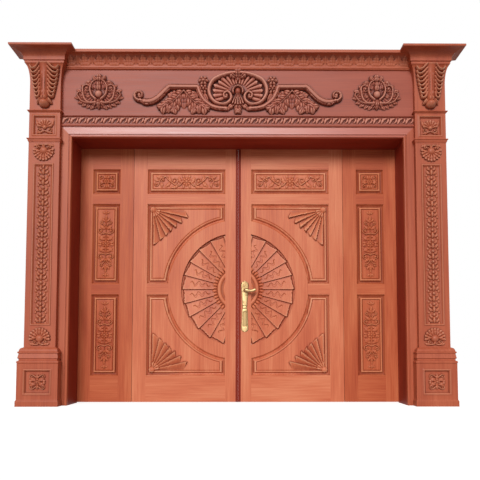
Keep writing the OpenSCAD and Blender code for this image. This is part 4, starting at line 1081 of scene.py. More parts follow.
@dataclass
class Head:
    """Head of the frame: wave band, carved frieze and cornice.

    A grid is the step up the section and the step along the board.
    """

    wardrobe: Wardrobe
    step: float = 4.3
    band_grid: tuple[float, float] = (3.4, 4.8)
    cornice_grid: tuple[float, float] = (4.4, 6.0)
    cornice_drop: float = 0.5
    cut_share: float = 0.64
    cartouche_share: float = 0.79
    wave_pitch: float = 66.0
    flower_pitch: float = 118.0
    bed_h: float = 31.0
    cornice_out: float = 85.0
    crown_out: float = 125.0

    def __post_init__(self) -> None:
        """Reads the places of the head from its nodes."""
        self.face_y = Extent.of("right_casing").y0
        self.frieze_box = Extent.of("frieze")
        self.half = self.frieze_box.x1
        self.wall_y = self.frieze_box.y1

    def crest(self, view: Relief) -> None:
        """Draws the crest: shell, scrolls, reeded bar, flowers and leaves.

        Args:
            view: heights to draw on, folded about the crest's middle.
        """
        under = (((-470, 8), (-566, -36), 60, 22), ((-410, 8), (-322, -40), 60, 22),
                 ((-462, -20), (-538, -172), 86, 28), ((-418, -20), (-342, -172), 86, 28))
        for root, tip, width, rise in under:
            view.acanthus(root, tip, width, rise, 4)
        view.leaf((-440, 10), (-440, -136), 84, 18, 0, 3)
        for tip, bend in (((-646, -146), 0.08), ((-234, -154), -0.08)):
            view.acanthus((-440, 6), tip, 118, 36, 5, bend)
        for tip in ((-592, -172), (-620, -96), (-292, -172), (-268, -100)):
            view.leaf((0.5 * (tip[0] - 440), 0.5 * tip[1] - 8), tip, 44, 31, 0, 3)
        bar = np.concatenate([
            spline([(-760, -82), (-735, -84), (-690, -74), (-640, -40), (-568, 36)])[:-1],
            [(-556.0, 42), (-336, 42)],
            spline([(-322, 30), (-310, -10), (-270, -76), (-196, -124), (-96, -138)])])
        view.band(bar, 50, 36, 1.0, 0.7, True)
        view.scroll([(-735, -84), (-784, -78)], (-802, -28), 46, -75, -470, 28, 36, True)
        view.boss((-90, 10), 150, 6, 0.9)
        for reach, a0, a1, blades in ((164, 92, 130, 3), (186, 130, 156, 2), (206, 156, 206, 4)):
            view.fan((0, -8), 78, reach, a0, a1, blades, 26)
        view.fan((0, -8), 46, 84, 88, 214, 1, 14)
        # Painted shade: low ground inside the shell's C-scroll is drawn darker.
        pit = np.hypot((view.x + 92) / 138, (view.z - 16) / 124) < 1
        view.tone[pit & (view.height < 12)] = -0.5
        ridge = spline([(-24, 152), (-106, 138), (-196, 98), (-234, 26), (-222, -44), (-176, -94),
                        (-112, -106), (-66, -78), (-56, -34), (-84, -2), (-114, -20), (-108, -48),
                        (-92, -46)])
        view.band(ridge, 38, 48, 1.0, 0.6)
        view.boss((-92, -34), 14, 44)
        view.band(spiral((0, 4), 40, 40, -20, 200), 17, 42)
        view.boss((0, 8), 27, 34, 1.2)
        view.fan((0, 14), 24, 128, 244, 296, 5, 38)
        view.acanthus((0, 92), (0, 186), 76, 36, 4)
        view.leaf((-10, 112), (-74, 168), 52, 54, 0.12, 3)
        view.leaf((0, 106), (0, 184), 58, 56, 0, 3)
        view.acanthus((0, -76), (0, -176), 64, 34, 4)
        view.leaf((-12, -96), (-92, -158), 42, 28, -0.12, 3)
        for z in (96, 24):
            view.rosette((-282, z), 42, 6, 34)
        view.leaf((-278, -6), (-240, -82), 36, 26)

    def cartouche(self, view: Relief) -> None:
        """Draws a palmette: a bud in a lyre over a boss, paired scrolls and a ragged edge of leaves.

        Args:
            view: heights to draw on, folded about the palmette's middle.
        """
        tips = ((-36, 138), (-80, 102), (-108, 70), (-146, 60), (-186, 18), (-202, -46), (-176, -92),
                (-144, -118), (-104, -134), (-70, -146), (-34, -136))
        view.boss((0, -10), 120, 16, 0.95)
        view.boss((-80, -40), 84, 16, 0.8)
        for tip in tips:
            view.leaf((0.25 * tip[0], 0.2 * tip[1] - 12), tip, 58, 26, 0.08, 3)
        view.scroll([(-24, -96), (-78, -96), (-118, -54)], (-94, 22), 36, 180, -260, 24, 40)
        view.scroll([(-88, -98), (-140, -78)], (-152, -22), 24, 200, -160, 18, 32)
        view.leaf((-60, -44), (-112, -30), 34, 34, 0.1)
        view.acanthus((-44, 20), (-92, 88), 52, 34, 3, 0.1)
        lyre = spline([(-10, 100), (-50, 74), (-68, 22), (-56, -34), (-22, -70)])
        view.band(lyre, 24, 44, 0.6, 1.0)
        view.leaf((0, -4), (0, 96), 46, 46, 0, 2)
        view.leaf((-12, 88), (-50, 138), 38, 36, 0.1, 2)
        view.leaf((0, 76), (0, 152), 52, 44, 0, 2)
        view.boss((0, -26), 31, 50, 1.1)
        view.leaf((-18, -62), (-52, -128), 36, 38, 0.1)
        view.leaf((0, -60), (0, -146), 44, 40, 0, 3)

    def frieze(self) -> None:
        """Frieze board in three pieces that meet in plain wood, carved with the crest and two cartouches."""
        box = self.frieze_box
        centre_z = (box.z0 + box.z1) / 2
        cart_x = self.cartouche_share * self.half
        cut = self.cut_share * self.half
        rows = int((box.z1 - box.z0) / self.step)
        for name, x0, x1 in (("left", -self.half, -cut), ("middle", -cut, cut), ("right", cut, self.half)):
            cols = int((x1 - x0) / self.step)
            x, z = np.meshgrid(np.linspace(x0, x1, cols), np.linspace(box.z0, box.z1, rows))
            relief = Relief(x, z)
            if name == "middle":
                self.crest(relief.folded(0, centre_z))
            else:
                self.cartouche(relief.folded(math.copysign(cart_x, x0 + x1), centre_z))
            front = np.stack([x, self.face_y - relief.height, z], 2)
            # Strong painted shade and highlight for the deep frieze carving.
            shell = backed(front, self.wall_y, relief.hollow(self.step, 0.22, 1.7))
            shell.build(f"carved_frieze_{name}", self.wardrobe.head(), "frame", "frieze")

    def wave_band(self) -> None:
        """Band under the frieze: a running vine between rounded edges."""
        box = Extent.of("wave_band")
        h, z = box.z1 - box.z0, box.z0
        outline = [(6, z), *rounded(7, 0.07 * h, -90, 90, (6, z + 0.1 * h)), (2, z + 0.19 * h),
                   (-2, z + 0.21 * h), (-2, z + 0.85 * h), (4, z + 0.87 * h), (10, z + 0.93 * h), (10, z + h)]
        rows = densely(outline, self.band_grid[0])
        cols = int(2 * self.half / self.band_grid[1])
        x, out = np.meshgrid(np.linspace(-self.half, self.half, cols), rows[:, 0])
        height = np.repeat(rows[:, 1][:, None], cols, axis=1)
        relief = Relief(x, height)
        pitch = 2 * self.half / round(2 * self.half / self.wave_pitch)
        for shift in (-pitch, 0, pitch):
            view = relief.repeated(-self.half + shift, z + 0.53 * h, pitch)
            view.x = view.x + shift
            view.leaf((-0.46 * pitch, -24), (0.30 * pitch, 26), 24, 12, 0.16, 2)
            view.leaf((0.46 * pitch, 24), (0.06 * pitch, -20), 18, 10, 0.16, 2)
            view.boss((-0.24 * pitch, 16), 9, 11)
        front = np.stack([x, self.face_y - out - relief.height, height], 2)
        shell = backed(front, self.wall_y, relief.hollow(3.0, 0.0, 1.4))
        shell.build("carved_wave_band", self.wardrobe.head(), "frame", "wave_band")

    def cornice(self) -> None:
        """Cornice: bed moulding, a hollow with a row of upright leaves, and a flat top band.

        The outline runs up the section; carving lifts each point along the section's normal. Its top lies
        a little under the crowns' tops, which lap over its ends.
        """
        box = Extent.of("cornice")
        z, top = box.z0, box.z1 - self.cornice_drop
        cove = z + self.bed_h
        rise = 0.76 * (top - cove)
        reach = self.cornice_out - 16
        outline = [(4, z), *rounded(9, 0.2 * self.bed_h, -90, 40, (5, z + 0.24 * self.bed_h)),
                   (16, z + 0.45 * self.bed_h), (16, cove - 4), (12, cove),
                   *[(12 + (reach - 12) * (1 + math.cos(a)), cove + rise * math.sin(a))
                     for a in np.radians(np.linspace(180, 90, 20))],
                   (self.cornice_out, cove + rise), (self.cornice_out, top)]
        rows = densely(outline, self.cornice_grid[0])
        along = np.gradient(rows, axis=0)
        normal = np.stack([along[:, 1], -along[:, 0]], 1) / np.linalg.norm(along, axis=1)[:, None]
        cols = int(2 * self.half / self.cornice_grid[1])
        x, run = np.meshgrid(np.linspace(-self.half, self.half, cols),
                             np.concatenate([[0], np.cumsum(np.linalg.norm(np.diff(rows, axis=0), axis=1))]))
        relief = Relief(x, run)
        row = 2 * (self.half - self.crown_out)
        pitch = row / round(row / self.flower_pitch)
        start = self.bed_h * 1.3
        view = relief.repeated(-row / 2, start, pitch)
        side = Relief(-np.abs(view.x), view.z, view.height)
        side.leaf((0, 0), (0, 92), 0.5 * pitch, 9, 0, 4)
        side.leaf((-10, 2), (-0.42 * pitch, 70), 0.3 * pitch, 7, 0.1, 3)
        side.leaf((-0.5 * pitch, 8), (-0.5 * pitch, 84), 0.2 * pitch, 6)
        front = np.stack([x, self.face_y - rows[:, :1] - relief.height * normal[:, :1],
                          rows[:, 1:] + relief.height * normal[:, 1:]], 2)
        shell = backed(front, self.wall_y, relief.hollow(3.4))
        shell.build("carved_cornice", self.wardrobe.frame(Grain.ACROSS), "frame", "cornice")

    def build(self) -> None:
        """Builds the head from the band up."""
        self.wave_band()
        self.frieze()
        self.cornice()


MOULDING = [(-8, -0.5), (0, -0.5), (2, -2), (5, -9), (13, -15), (20, -16.5), (24, -15), (28, -6), (32, -1.2),
            (36, 0.3), (40, -1), (43, -6), (45, -7), (47, -6), (49, -3.2), (60, -3)]
FIELD = -3.0
# Painted shade and highlight along the panel moulding, by the distance inside its edge: darker on the outer
# slope and in the groove by the field, lighter on the bead.
MOULDING_PAINTED_SHADING = [(0, 0), (3, -0.2), (7, 0.05), (14, -0.05), (22, -0.08), (28, 0.05), (34, 0.25), (40, 0.1),
                  (43, -0.3), (46, -0.3), (50, 0), (60, 0)]


@dataclass
class Leaf:
    """What the four leaves share: heights of the panels and depths of the boards."""

    side: Side
    wardrobe: Wardrobe
    stile_w: float = 115.0
    meeting_w: float = 108.0
    bottom_rail_h: float = 219.0
    mid_rail_h: float = 90.0
    upper_rail_h: float = 88.0
    top_rail_h: float = 187.0
    top_panel_h: float = 215.0
    valley_d: float = 11.0
    under: float = 4.0
    stain: float = 0.16
    step: float = 3.6

    def __post_init__(self) -> None:
        """Works the panel heights out from the stiles, as the joiner sets them out."""
        self.outer = Extent.of("right_outer_stiles")
        self.inner = Extent.of("right_inner_stiles")
        self.leaf_y, self.back_y = self.inner.y0, self.inner.y1
        z0, z1 = self.inner.z0, self.inner.z1
        self.low_z0 = z0 + self.bottom_rail_h
        rails = self.mid_rail_h + self.upper_rail_h + self.top_panel_h + self.top_rail_h
        big = (z1 - self.low_z0 - rails) / 2
        self.low_z1 = self.low_z0 + big
        self.tall_z0 = self.low_z1 + self.mid_rail_h
        self.tall_z1 = self.tall_z0 + big
        self.small_z0 = self.tall_z1 + self.upper_rail_h
        self.small_z1 = self.small_z0 + self.top_panel_h
        self.sun_z = self.low_z1 + self.mid_rail_h / 2

    def finish(self, name: str, body: str, node: str, x: np.ndarray, z: np.ndarray, relief: Relief,
               step: float) -> None:
        """Turns a carved panel into a piece: the front stands at the leaf's face plus the relief.

        Args:
            name: name of the piece, without its side.
            body: body that carries it, without its side.
            node: node that it stands for, without its side.
            x: distance from the middle of the door.
            z: height.
            relief: its carving.
            step: grid step.
        """
        front = np.stack([self.side.value * x, self.leaf_y - relief.height, z], 2)
        shell = backed(front, self.back_y - self.valley_d, relief.hollow(step, self.stain))
        word = self.side.word
        dress = self.wardrobe.outer() if body == "outer_leaf" else self.wardrobe.leaf()
        shell.build(f"{word}_{name}", dress, f"{word}_{body}", f"{word}_{node}")

    def board(self, name: str, body: str, node: str, x0: float, x1: float, z0: float, z1: float,
              carve: Callable[[Relief], None]) -> None:
        """Builds a square-cornered panel: moulding by the distance to its edge, then its carving.

        Args:
            name: name of the piece.
            body: body that carries it.
            node: node that it stands for.
            x0: inner edge of the opening.
            x1: outer edge.
            z0: lower edge.
            z1: upper edge.
            carve: draws the carving on a view centred on the panel.
        """
        half_w, half_h = (x1 - x0) / 2, (z1 - z0) / 2
        x, z = np.meshgrid(np.linspace(x0 - self.under, x1 + self.under, int((x1 - x0) / self.step)),
                           np.linspace(z0 - self.under, z1 + self.under, int((z1 - z0) / self.step)))
        relief = Relief(x, z)
        centred = Relief(x - (x0 + x1) / 2, z - (z0 + z1) / 2, relief.height, relief.tone)
        inside = inside_box(centred.x, centred.z, half_w, half_h)
        centred.sink(inside, MOULDING)
        # Painted shade and highlight along the moulding.
        centred.stained(inside, MOULDING_PAINTED_SHADING)
        carve(centred)
        self.finish(name, body, node, x, z, relief, self.step)


class OuterLeaf(Leaf):
    """Narrow leaf beside a jamb, with three carved panels one over the other."""

    def arabesque(self, relief: Relief) -> None:
        """Draws an upright arabesque, the same above and below its middle.

        Args:
            relief: heights to draw on, centred on the panel.
        """
        view = relief.folded(0, 0, up=True)
        base = FIELD
        view.band(np.array([(0.0, 0), (0, 205)]), 9, 8, 1, 0.6, False, base)
        view.leaf((-4, 34), (-60, 66), 32, 11, 0.1, 3, base)
        view.leaf((-4, 70), (-62, 30), 24, 10, -0.1, 3, base)
        view.scroll([(-3, 92), (-34, 84)], (-44, 112), 22, -90, -470, 11, 11, False, base)
        view.leaf((-3, 128), (-50, 160), 30, 11, 0.1, 3, base)
        view.scroll([(-3, 138), (-20, 168)], (-36, 184), 15, -60, -440, 9, 10, False, base)
        view.leaf((-2, 190), (-32, 222), 22, 10, 0.1, 2, base)
        view.leaf((0, 176), (0, 250), 26, 12, 0, 3, base)
        view.leaf((0, 252), (0, 288), 18, 10, 0, 0, base)
        view.leaf((-4, 258), (-30, 276), 14, 8, 0, 0, base)
        view.rosette((0, 0), 34, 8, 12, base)
        view.leaf((-34, 6), (-68, 14), 24, 10, 0, 2, base)

    def four_scrolls(self, relief: Relief) -> None:
        """Draws a flower between four scrolls.

        Args:
            relief: heights to draw on, centred on the panel.
        """
        view = relief.folded(0, 0, up=True)
        view.scroll([(-12, 10), (-40, 14)], (-44, 36), 17, -80, -440, 10, 11, False, FIELD)
        view.leaf((-10, 22), (-16, 56), 22, 11, 0.1, 2, FIELD)
        view.leaf((-26, 4), (-66, 6), 24, 11, 0, 3, FIELD)
        view.leaf((0, 22), (0, 58), 20, 11, 0, 2, FIELD)
        view.rosette((0, 0), 27, 6, 13, FIELD)

    def build(self) -> None:
        """Builds the three panels."""
        x0, x1 = self.outer.x0 + self.stile_w, self.outer.x1 - self.stile_w
        rows = (("low", self.low_z0, self.low_z1, self.arabesque),
                ("tall", self.tall_z0, self.tall_z1, self.arabesque),
                ("small", self.small_z0, self.small_z1, self.four_scrolls))
        for word, z0, z1, carve in rows:
            self.board(f"outer_{word}_panel", "outer_leaf", "outer_panels", x0, x1, z0, z1, carve)


SUN_BOSS = [(0, 16), (0.18, 15.5), (0.25, 13.5), (0.27, 6), (0.285, 5), (0.30, 7), (0.315, 15), (0.33, 17.5),
            (0.345, 17.5), (0.36, 13), (0.37, 4), (0.372, 0)]


@dataclass
class InnerLeaf(Leaf):
    """Wide leaf at the middle, with half of the sun, two spandrels and a scrolled top panel."""

    rays: int = 24
    panel_room: float = 2.0
    sun_sunk: float = 21.0
    sun_groove: float = 12.0
    sun_rows: int = 82
    sun_cols: int = 340
    sun_step: float = 4.4
    spandrel_step: float = 5.0
    fan_inset: float = 50.0
    bead_x0: float = 0.64
    bead_heel: float = 0.17
    bead_step: float = 4.8
    twist_pitch: float = 26.0

    def __post_init__(self) -> None:
        """Reads the edges of the field, the arch's radius and the sun's radius from the nodes."""
        super().__post_init__()
        arch = Extent.of("right_arch_rail")
        self.field_x0 = self.inner.x0 + self.meeting_w
        self.field_x1 = self.inner.x1 - self.stile_w
        self.arch_r = arch.x1
        self.sun_r = Extent.of("right_sun_panel").x1 - self.sun_groove + self.panel_room

    def vine(self, relief: Relief) -> None:
        """Draws scrolls and leaves to both sides of a flower.

        Args:
            relief: heights to draw on, centred on the panel.
        """
        view = relief.folded(0, 0)
        base = FIELD
        view.scroll([(-30, 4), (-62, -34), (-100, -26)], (-104, 6), 30, -80, 300, 13, 12, False, base)
        view.scroll([(-100, -26), (-150, 10), (-176, 42)], (-202, 18), 26, 60, 420, 12, 12, False, base)
        view.scroll([(-176, 42), (-226, 20), (-236, -20)], (-262, -22), 20, 0, -380, 11, 11, False, base)
        leaves = (((-40, -14), (-66, 44), 30), ((-70, -34), (-140, -52), 28), ((-130, 0), (-150, 54), 26),
                  ((-140, -4), (-186, -46), 30), ((-206, 36), (-262, 48), 28), ((-232, 10), (-282, 22), 22),
                  ((-216, -10), (-214, -54), 24))
        for root, tip, width in leaves:
            view.leaf(root, tip, width, 11, 0.1, 3, base)
        view.rosette((0, 0), 42, 8, 13, base)
        view.leaf((-20, 30), (-34, 58), 20, 10, 0, 2, base)
        view.leaf((-20, -30), (-34, -58), 20, 10, 0, 2, base)

    def spandrel(self, up: int) -> None:
        """Builds a spandrel: columns rise from the circle, or from the middle rail, to the far rail.

        Args:
            up: 1 for the upper one, -1 for the lower one.
        """
        step = self.spandrel_step
        top = self.tall_z1 - self.sun_z
        foot = self.mid_rail_h / 2
        width = self.field_x1 - self.field_x0
        columns = np.linspace(self.field_x0 - self.under, self.field_x1 + self.under, int(width / step))
        low = np.sqrt(np.clip((self.arch_r - self.under) ** 2 - columns ** 2, (foot - self.under) ** 2, None))
        share = np.linspace(0, 1, int((top - foot) / step))[:, None]
        z = low + (top + self.under - low) * share
        x = np.repeat(columns[None], len(share), axis=0)
        relief = Relief(x, z)
        inside = np.minimum.reduce([np.hypot(x, z) - self.arch_r, self.field_x1 - x, x - self.field_x0,
                                    top - z, z - foot])
        relief.sink(inside, MOULDING)
        # Painted shade and highlight along the moulding.
        relief.stained(inside, MOULDING_PAINTED_SHADING)
        corner = (self.field_x1 - self.fan_inset, top - self.fan_inset)
        relief.fan(corner, 52, 330, 181, 269, 7, 19, True, FIELD)
        relief.fan(corner, 20, 64, 181, 269, 4, 15, False, FIELD)
        relief.boss(corner, 24, 17, base=FIELD)
        word = "upper" if up > 0 else "lower"
        height = self.sun_z + up * z
        self.finish(f"inner_{word}_spandrel", "inner_leaf", "inner_panels", x, height, relief, step)

    def sun(self) -> None:
        """Builds half of the sun on rays from its centre.

        A point's radius runs from the meeting stile's edge to the rim. Height falls evenly over each ray, so
        every ray has one high and one low edge, less a wavy cut that is widest halfway along. Inside lie a
        ruffle of petals and a ringed boss. Painted shade darkens the low edges, a line along the rim, the
        gaps in the ruffle, the rays towards the ruffle, and a little of the whole sun.
        """
        reach = math.degrees(math.acos(self.field_x0 / self.sun_r)) - 0.3
        angle = np.linspace(-reach, reach, self.sun_cols)[None]
        near = (self.field_x0 - self.under) / np.cos(np.radians(angle))
        share = np.linspace(0, 1, self.sun_rows)[:, None]
        r = near + (self.sun_r + self.under - near) * share
        angle = np.repeat(angle, len(share), axis=0)
        x, z = r * np.cos(np.radians(angle)), r * np.sin(np.radians(angle))
        relief = Relief(x, z)
        ray = 360 / self.rays
        across = (angle + 90) / ray % 1
        rim = (self.sun_r - 9) * (1 - 0.03 * across - 0.014 * np.sin(np.pi * across))
        s = r / self.sun_r
        blade = 18 - 13 * across
        wave = 0.3 * np.sin(2 * np.pi * (s - 0.55) / 0.12)
        cut_width = 0.3 * np.sin(np.pi * np.clip((s - 0.48) / 0.37, 0, 1))
        blade = blade - 4.6 * (np.abs(2 * across - 1 - wave) < cut_width)
        height = np.where((r < rim) & (s > 0.43), blade, 0)
        petal = np.sqrt(np.clip(1 - (2 * ((2 * across) % 1) - 1) ** 2, 0, 1))
        swell = np.sin(np.pi * np.clip((s - 0.365) / 0.1, 0, 1))
        height = np.maximum(height, 16 * petal * swell ** 0.6)
        disc = np.interp(s, *np.transpose(SUN_BOSS))
        relief.height[...] = np.maximum(height, disc) - self.sun_sunk
        edge_line = np.clip(6 * across - 5, 0, 1)
        towards_ruffle = np.clip((0.7 - s) / 0.24, 0, 1)
        on_ray = (s > 0.46) & (r < rim)
        at_rim = (r >= rim) & (r < rim + 11)
        between_petals = (s > 0.372) & (s < 0.46) & (petal < 0.75)
        # Painted shade: low ray edges, rays near the ruffle, a line outside the rim and the gaps between
        # petals are drawn darker, and the whole sun a little.
        relief.tone[...] = np.where(on_ray, -0.04 - 0.75 * edge_line - 0.3 * towards_ruffle, -0.25)
        relief.tone[...] -= 0.75 * at_rim + 0.55 * between_petals
        self.finish("sun", "inner_leaf", "sun_panel", x, self.sun_z + z, relief, self.sun_step)

    def meeting_bead(self) -> None:
        """Builds the carved bead on the meeting stile: a round with slanting cuts, beside a sloping fillet.

        The round's height is a half round across; the cuts follow the cosine of the height plus the place
        across.
        Its edge is bevelled towards the other leaf, so the beads close the gap and still swing clear.
        """
        node = f"{self.side.word}_meeting_bead"
        box = Extent.of("right_meeting_bead")
        thick = box.y1 - box.y0
        wide = box.x1 - self.bead_x0
        u = np.concatenate([[0], np.linspace(0, 1, 15)])
        z = np.linspace(box.z0, box.z1, int((box.z1 - box.z0) / self.bead_step))
        across, height = np.meshgrid(u, z)
        v = np.clip((across - 0.3) / 0.3, -1, 1)
        twist = 0.5 + 0.5 * np.cos(2 * np.pi * (height / self.twist_pitch + 0.5 * v))
        round_part = thick * (0.5 + 0.5 * np.sqrt(1 - v ** 2) * (0.62 + 0.38 * twist))
        slope = np.interp(across, [0, 0.6, 0.66, 0.72, 1], [0, 0, 0.3, 0.4, 0.25]) * thick
        level = np.where(across <= 0.6, round_part, slope)
        relief = Relief(across * wide, height, level)
        relief.height[:, 0] = 0.05
        place = self.bead_x0 + across * wide
        place[:, 0] = self.bead_heel
        front = np.stack([self.side.value * place, box.y1 - relief.height, height], 2)
        shell = backed(front, box.y1, relief.hollow(3.6))
        shell.build(f"carved_{node}", self.wardrobe.dark(), f"{self.side.word}_inner_leaf", node)

    def build(self) -> None:
        """Builds the panels and the bead."""
        self.board("inner_top_panel", "inner_leaf", "inner_panels", self.field_x0, self.field_x1,
                   self.small_z0, self.small_z1, self.vine)
        self.spandrel(1)
        self.spandrel(-1)
        self.sun()
        self.meeting_bead()


@dataclass
class HandlePlate:
    """Cast front plate of the lever handle, on the right-hand leaf."""

    wardrobe: Wardrobe
    outline: tuple[Point, ...] = (
        (0, 10), (0.02, 24), (0.05, 30), (0.1, 30), (0.2, 27), (0.3, 25), (0.38, 25), (0.43, 23), (0.46, 19),
        (0.48, 17), (0.52, 21), (0.6, 23), (0.7, 26), (0.8, 28), (0.86, 31), (0.92, 33), (0.96, 30),
        (0.98, 24), (1, 8))
    waist: float = 0.48
    back_gap: float = 0.4
    rows: int = 150
    cols: int = 33

    def build(self) -> None:
        """Builds the plate as rows up its height.

        A row is a flattened half round as wide as the outline there, less a sunk panel in the lower part and
        scalloped flutes in the head, plus a ring between two grooves at the waist.
        """
        box = Extent.of("handle_plate")
        thick = box.y1 - box.y0
        share, u = np.meshgrid(np.linspace(0, 1, self.rows), np.linspace(-1, 1, self.cols), indexing="ij")
        places, widths = np.asarray(self.outline, float).T
        half = np.interp(share, places, widths)
        level = 0.4 + 0.45 * np.sqrt(np.clip(1 - u ** 2, 0, 1))
        panel = (np.abs(u) < 0.6) & (share > 0.1) & (share < 0.4)
        level = level - 0.28 * panel
        level = level - 0.26 * (np.abs(np.sin(3.5 * np.pi * u)) < 0.4) * (share > 0.84)
        from_waist = np.abs(share - self.waist)
        level = level + 0.1 * (from_waist < 0.02) - 0.2 * (np.abs(from_waist - 0.03) < 0.008)
        relief = Relief(u * half, share * (box.z1 - box.z0), level * thick)
        # Painted shade: the plate is drawn darker toward its rounded sides and in its sunk lower panel.
        relief.tone[...] = -0.9 * np.abs(u) ** 4 - 0.45 * panel
        middle = (box.x0 + box.x1) / 2
        front = np.stack([middle + relief.x, box.y1 - relief.height, box.z0 + relief.z], 2)
        shell = backed(front, box.y1 - self.back_gap, relief.hollow(2.0))
        shell.build("cast_handle_plate", self.wardrobe.brass, "right_inner_leaf", "handle_plate")


@dataclass
class HandleLever:
    """Cast lever on one face of the right-hand leaf: a round neck, and a grip that dips and turns up."""

    wardrobe: Wardrobe
    node: str
    plate: str
    outwards: int
    tall: float = 1.15
    path: tuple[tuple[float, float, float, float], ...] = (
        (0, 0, 0, 13), (0, 6, 0, 13), (0, 12, 0, 9), (0, 32, 0, 9.5), (6, 43, 0, 11), (22, 45, -4, 12),
        (46, 45, -7, 10.5), (68, 45, -5, 9.5), (84, 45, 1, 10), (92, 45, 4, 8), (96, 45, 5, 2))

    def build(self) -> None:
        """Carries an ellipse along the path, square to it and taller than deep.

        Each point of the path gives the place along the leaf, the stand-out from its face, the rise and the
        radius.
        """
        box, plate = Extent.of(self.node), Extent.of(self.plate)
        face = plate.y1 if self.outwards < 0 else plate.y0
        knots = np.asarray(self.path, float)
        order = np.arange(len(knots))
        x, out, rise, r = (spline(list(zip(order, column)))[:, 1] for column in knots.T)
        middle_x, middle_z = (plate.x0 + plate.x1) / 2, (box.z0 + box.z1) / 2
        line = np.stack([middle_x + x, face + self.outwards * out, middle_z + rise], 1)
        along = np.gradient(line, axis=0)
        across = np.cross(along, [0.0, 0.0, 1.0])
        across /= np.linalg.norm(across, axis=1)[:, None]
        up = np.cross(across, along)
        up /= np.linalg.norm(up, axis=1)[:, None]
        turn = np.linspace(0, 2 * math.pi, 28, endpoint=False)[None, :, None]
        rings = line[:, None] + r[:, None, None] * (
            np.cos(turn) * across[:, None] + self.tall * np.sin(turn) * up[:, None])
        shell = lofted(rings, np.zeros(rings.shape[:2]))
        shell.build(f"cast_{self.node}", self.wardrobe.brass, "lever", self.node)


class Joinery:
    """Plain boards and metalwork that keep their solids and take a finish."""

    def __init__(self, wardrobe: Wardrobe) -> None:
        """Keeps the finishes."""
        self.wardrobe = wardrobe

    def build(self) -> None:
        """Finishes the boards along their grain, then the metalwork."""
        w = self.wardrobe
        across = Grain.ACROSS
        finishes = {"head_casing": w.casing(), "head_jamb": w.dark(across), "head_stop": w.dark(across)}
        for side in Side:
            parts = {"casing": w.frame(), "jamb": w.dark(), "stop": w.dark(), "outer_stiles": w.outer(),
                     "inner_stiles": w.leaf(), "outer_rails": w.outer(across), "inner_rails": w.leaf(across),
                     "arch_rail": w.leaf(), "outer_hinge_flaps": w.brass, "inner_hinge_flaps": w.brass}
            finishes.update({f"{side.word}_{part}": dress for part, dress in parts.items()})
        metal = ("jamb_hinge_flaps", "rear_plate", "thumb_turn", "latch_bolt", "dead_bolt", "strike_plate")
        finishes.update({name: w.brass for name in metal})
        finishes["lock_case"] = w.steel
        for name, dress in finishes.items():
            dress_node(name, dress)


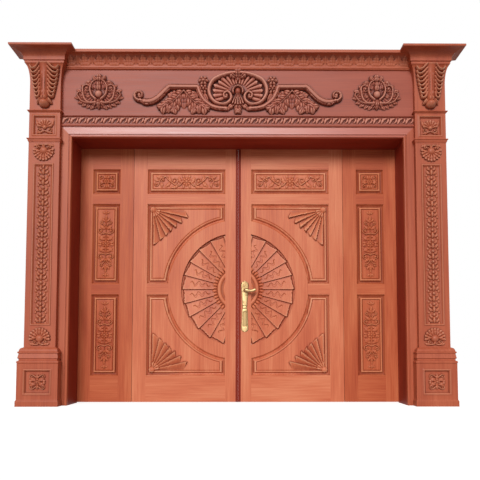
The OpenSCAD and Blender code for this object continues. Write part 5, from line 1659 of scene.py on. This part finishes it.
@dataclass
class Studio:
    """Floor, lamps, white surround and the camera at the photograph's place."""

    floor_half: float = 14.0
    floor_lift: float = 0.8
    surround: float = 0.25
    key_strength: float = 2.75
    key_height: float = 25.5
    key_side: float = 9.0
    key_spread: float = 30.0
    lens: float = 36.75
    camera_place: tuple[float, float, float] = (0.062, -3.989, 0.406)
    pitch: float = 0.053
    yaw: float = -0.005
    shift: tuple[float, float] = (-0.0165, 0.1837)

    def floor(self) -> None:
        """Lays a plain pale floor under the part."""
        half = self.floor_half
        mesh = bpy.data.meshes.new("studio_floor")
        corners = [(-half, -half, 0), (half, -half, 0), (half, half, 0), (-half, half, 0)]
        mesh.from_pydata(corners, [], [(0, 1, 2, 3)])
        material, tree = empty_material("pale_studio_paper")
        paper = add_node(tree, "ShaderNodeBsdfPrincipled", inputs={
            "Base Color": linear("#a8a6a3"), "Roughness": 0.9}).outputs[0]
        glow = add_node(tree, "ShaderNodeMath", {"operation": "MULTIPLY"}, {
            0: seen_directly(tree), 1: self.floor_lift}).outputs[0]
        white = add_node(tree, "ShaderNodeEmission", inputs={"Strength": glow}).outputs[0]
        lit = add_node(tree, "ShaderNodeAddShader", inputs={0: paper, 1: white}).outputs[0]
        add_node(tree, "ShaderNodeOutputMaterial", inputs={"Surface": lit})
        mesh.materials.append(material)
        plane = bpy.data.objects.new("studio_floor", mesh)
        bpy.context.collection.objects.link(plane)

    def world(self) -> None:
        """Lights evenly from all round, and shows white to the camera and in reflections."""
        world = bpy.data.worlds.new("studio_surround")
        bpy.context.scene.world = world
        world.use_nodes = True
        tree = world.node_tree
        tree.nodes.clear()
        soft, white = (add_node(tree, "ShaderNodeBackground", inputs={
            "Color": (1, 1, 1, 1), "Strength": strength}).outputs[0] for strength in (self.surround, 1.0))
        shown = add_node(tree, "ShaderNodeMixShader", inputs={
            0: seen_directly(tree), 1: soft, 2: white}).outputs[0]
        add_node(tree, "ShaderNodeOutputWorld", inputs={"Surface": shown})

    def sky_key(self) -> None:
        """Lights the front evenly from high on the left, as open sky does."""
        light = bpy.data.lights.new("sky_key", "SUN")
        light.energy = self.key_strength
        light.angle = math.radians(self.key_spread)
        lamp = bpy.data.objects.new("sky_key", light)
        lamp.rotation_euler = (math.radians(90 - self.key_height), 0, math.radians(-self.key_side))
        bpy.context.collection.objects.link(lamp)

    def camera(self) -> None:
        """Sets the camera where the photograph was taken from."""
        data = bpy.data.cameras.new("photograph_camera")
        data.lens = self.lens
        data.sensor_width = 36.0
        data.shift_x, data.shift_y = self.shift
        camera = bpy.data.objects.new("photograph_camera", data)
        camera.location = self.camera_place
        camera.rotation_euler = (math.pi / 2 + self.pitch, 0, self.yaw)
        bpy.context.collection.objects.link(camera)
        bpy.context.scene.camera = camera

    def build(self) -> None:
        """Sets up the whole studio."""
        bpy.context.scene.view_settings.view_transform = "Standard"
        self.floor()
        self.world()
        self.sky_key()
        self.camera()


def main() -> None:
    """Builds the door from the frame inwards, then the studio."""
    logging.basicConfig(level=logging.INFO, format="%(name)s: %(message)s")
    wardrobe = Wardrobe()
    Joinery(wardrobe).build()
    for side in Side:
        Pilaster(side, wardrobe).build()
    Head(wardrobe).build()
    for side in Side:
        OuterLeaf(side, wardrobe).build()
        InnerLeaf(side, wardrobe).build()
    HandlePlate(wardrobe).build()
    HandleLever(wardrobe, "front_lever", "handle_plate", -1).build()
    HandleLever(wardrobe, "rear_lever", "rear_plate", 1).build()
    Studio().build()


if __name__ == "__main__":
    main()
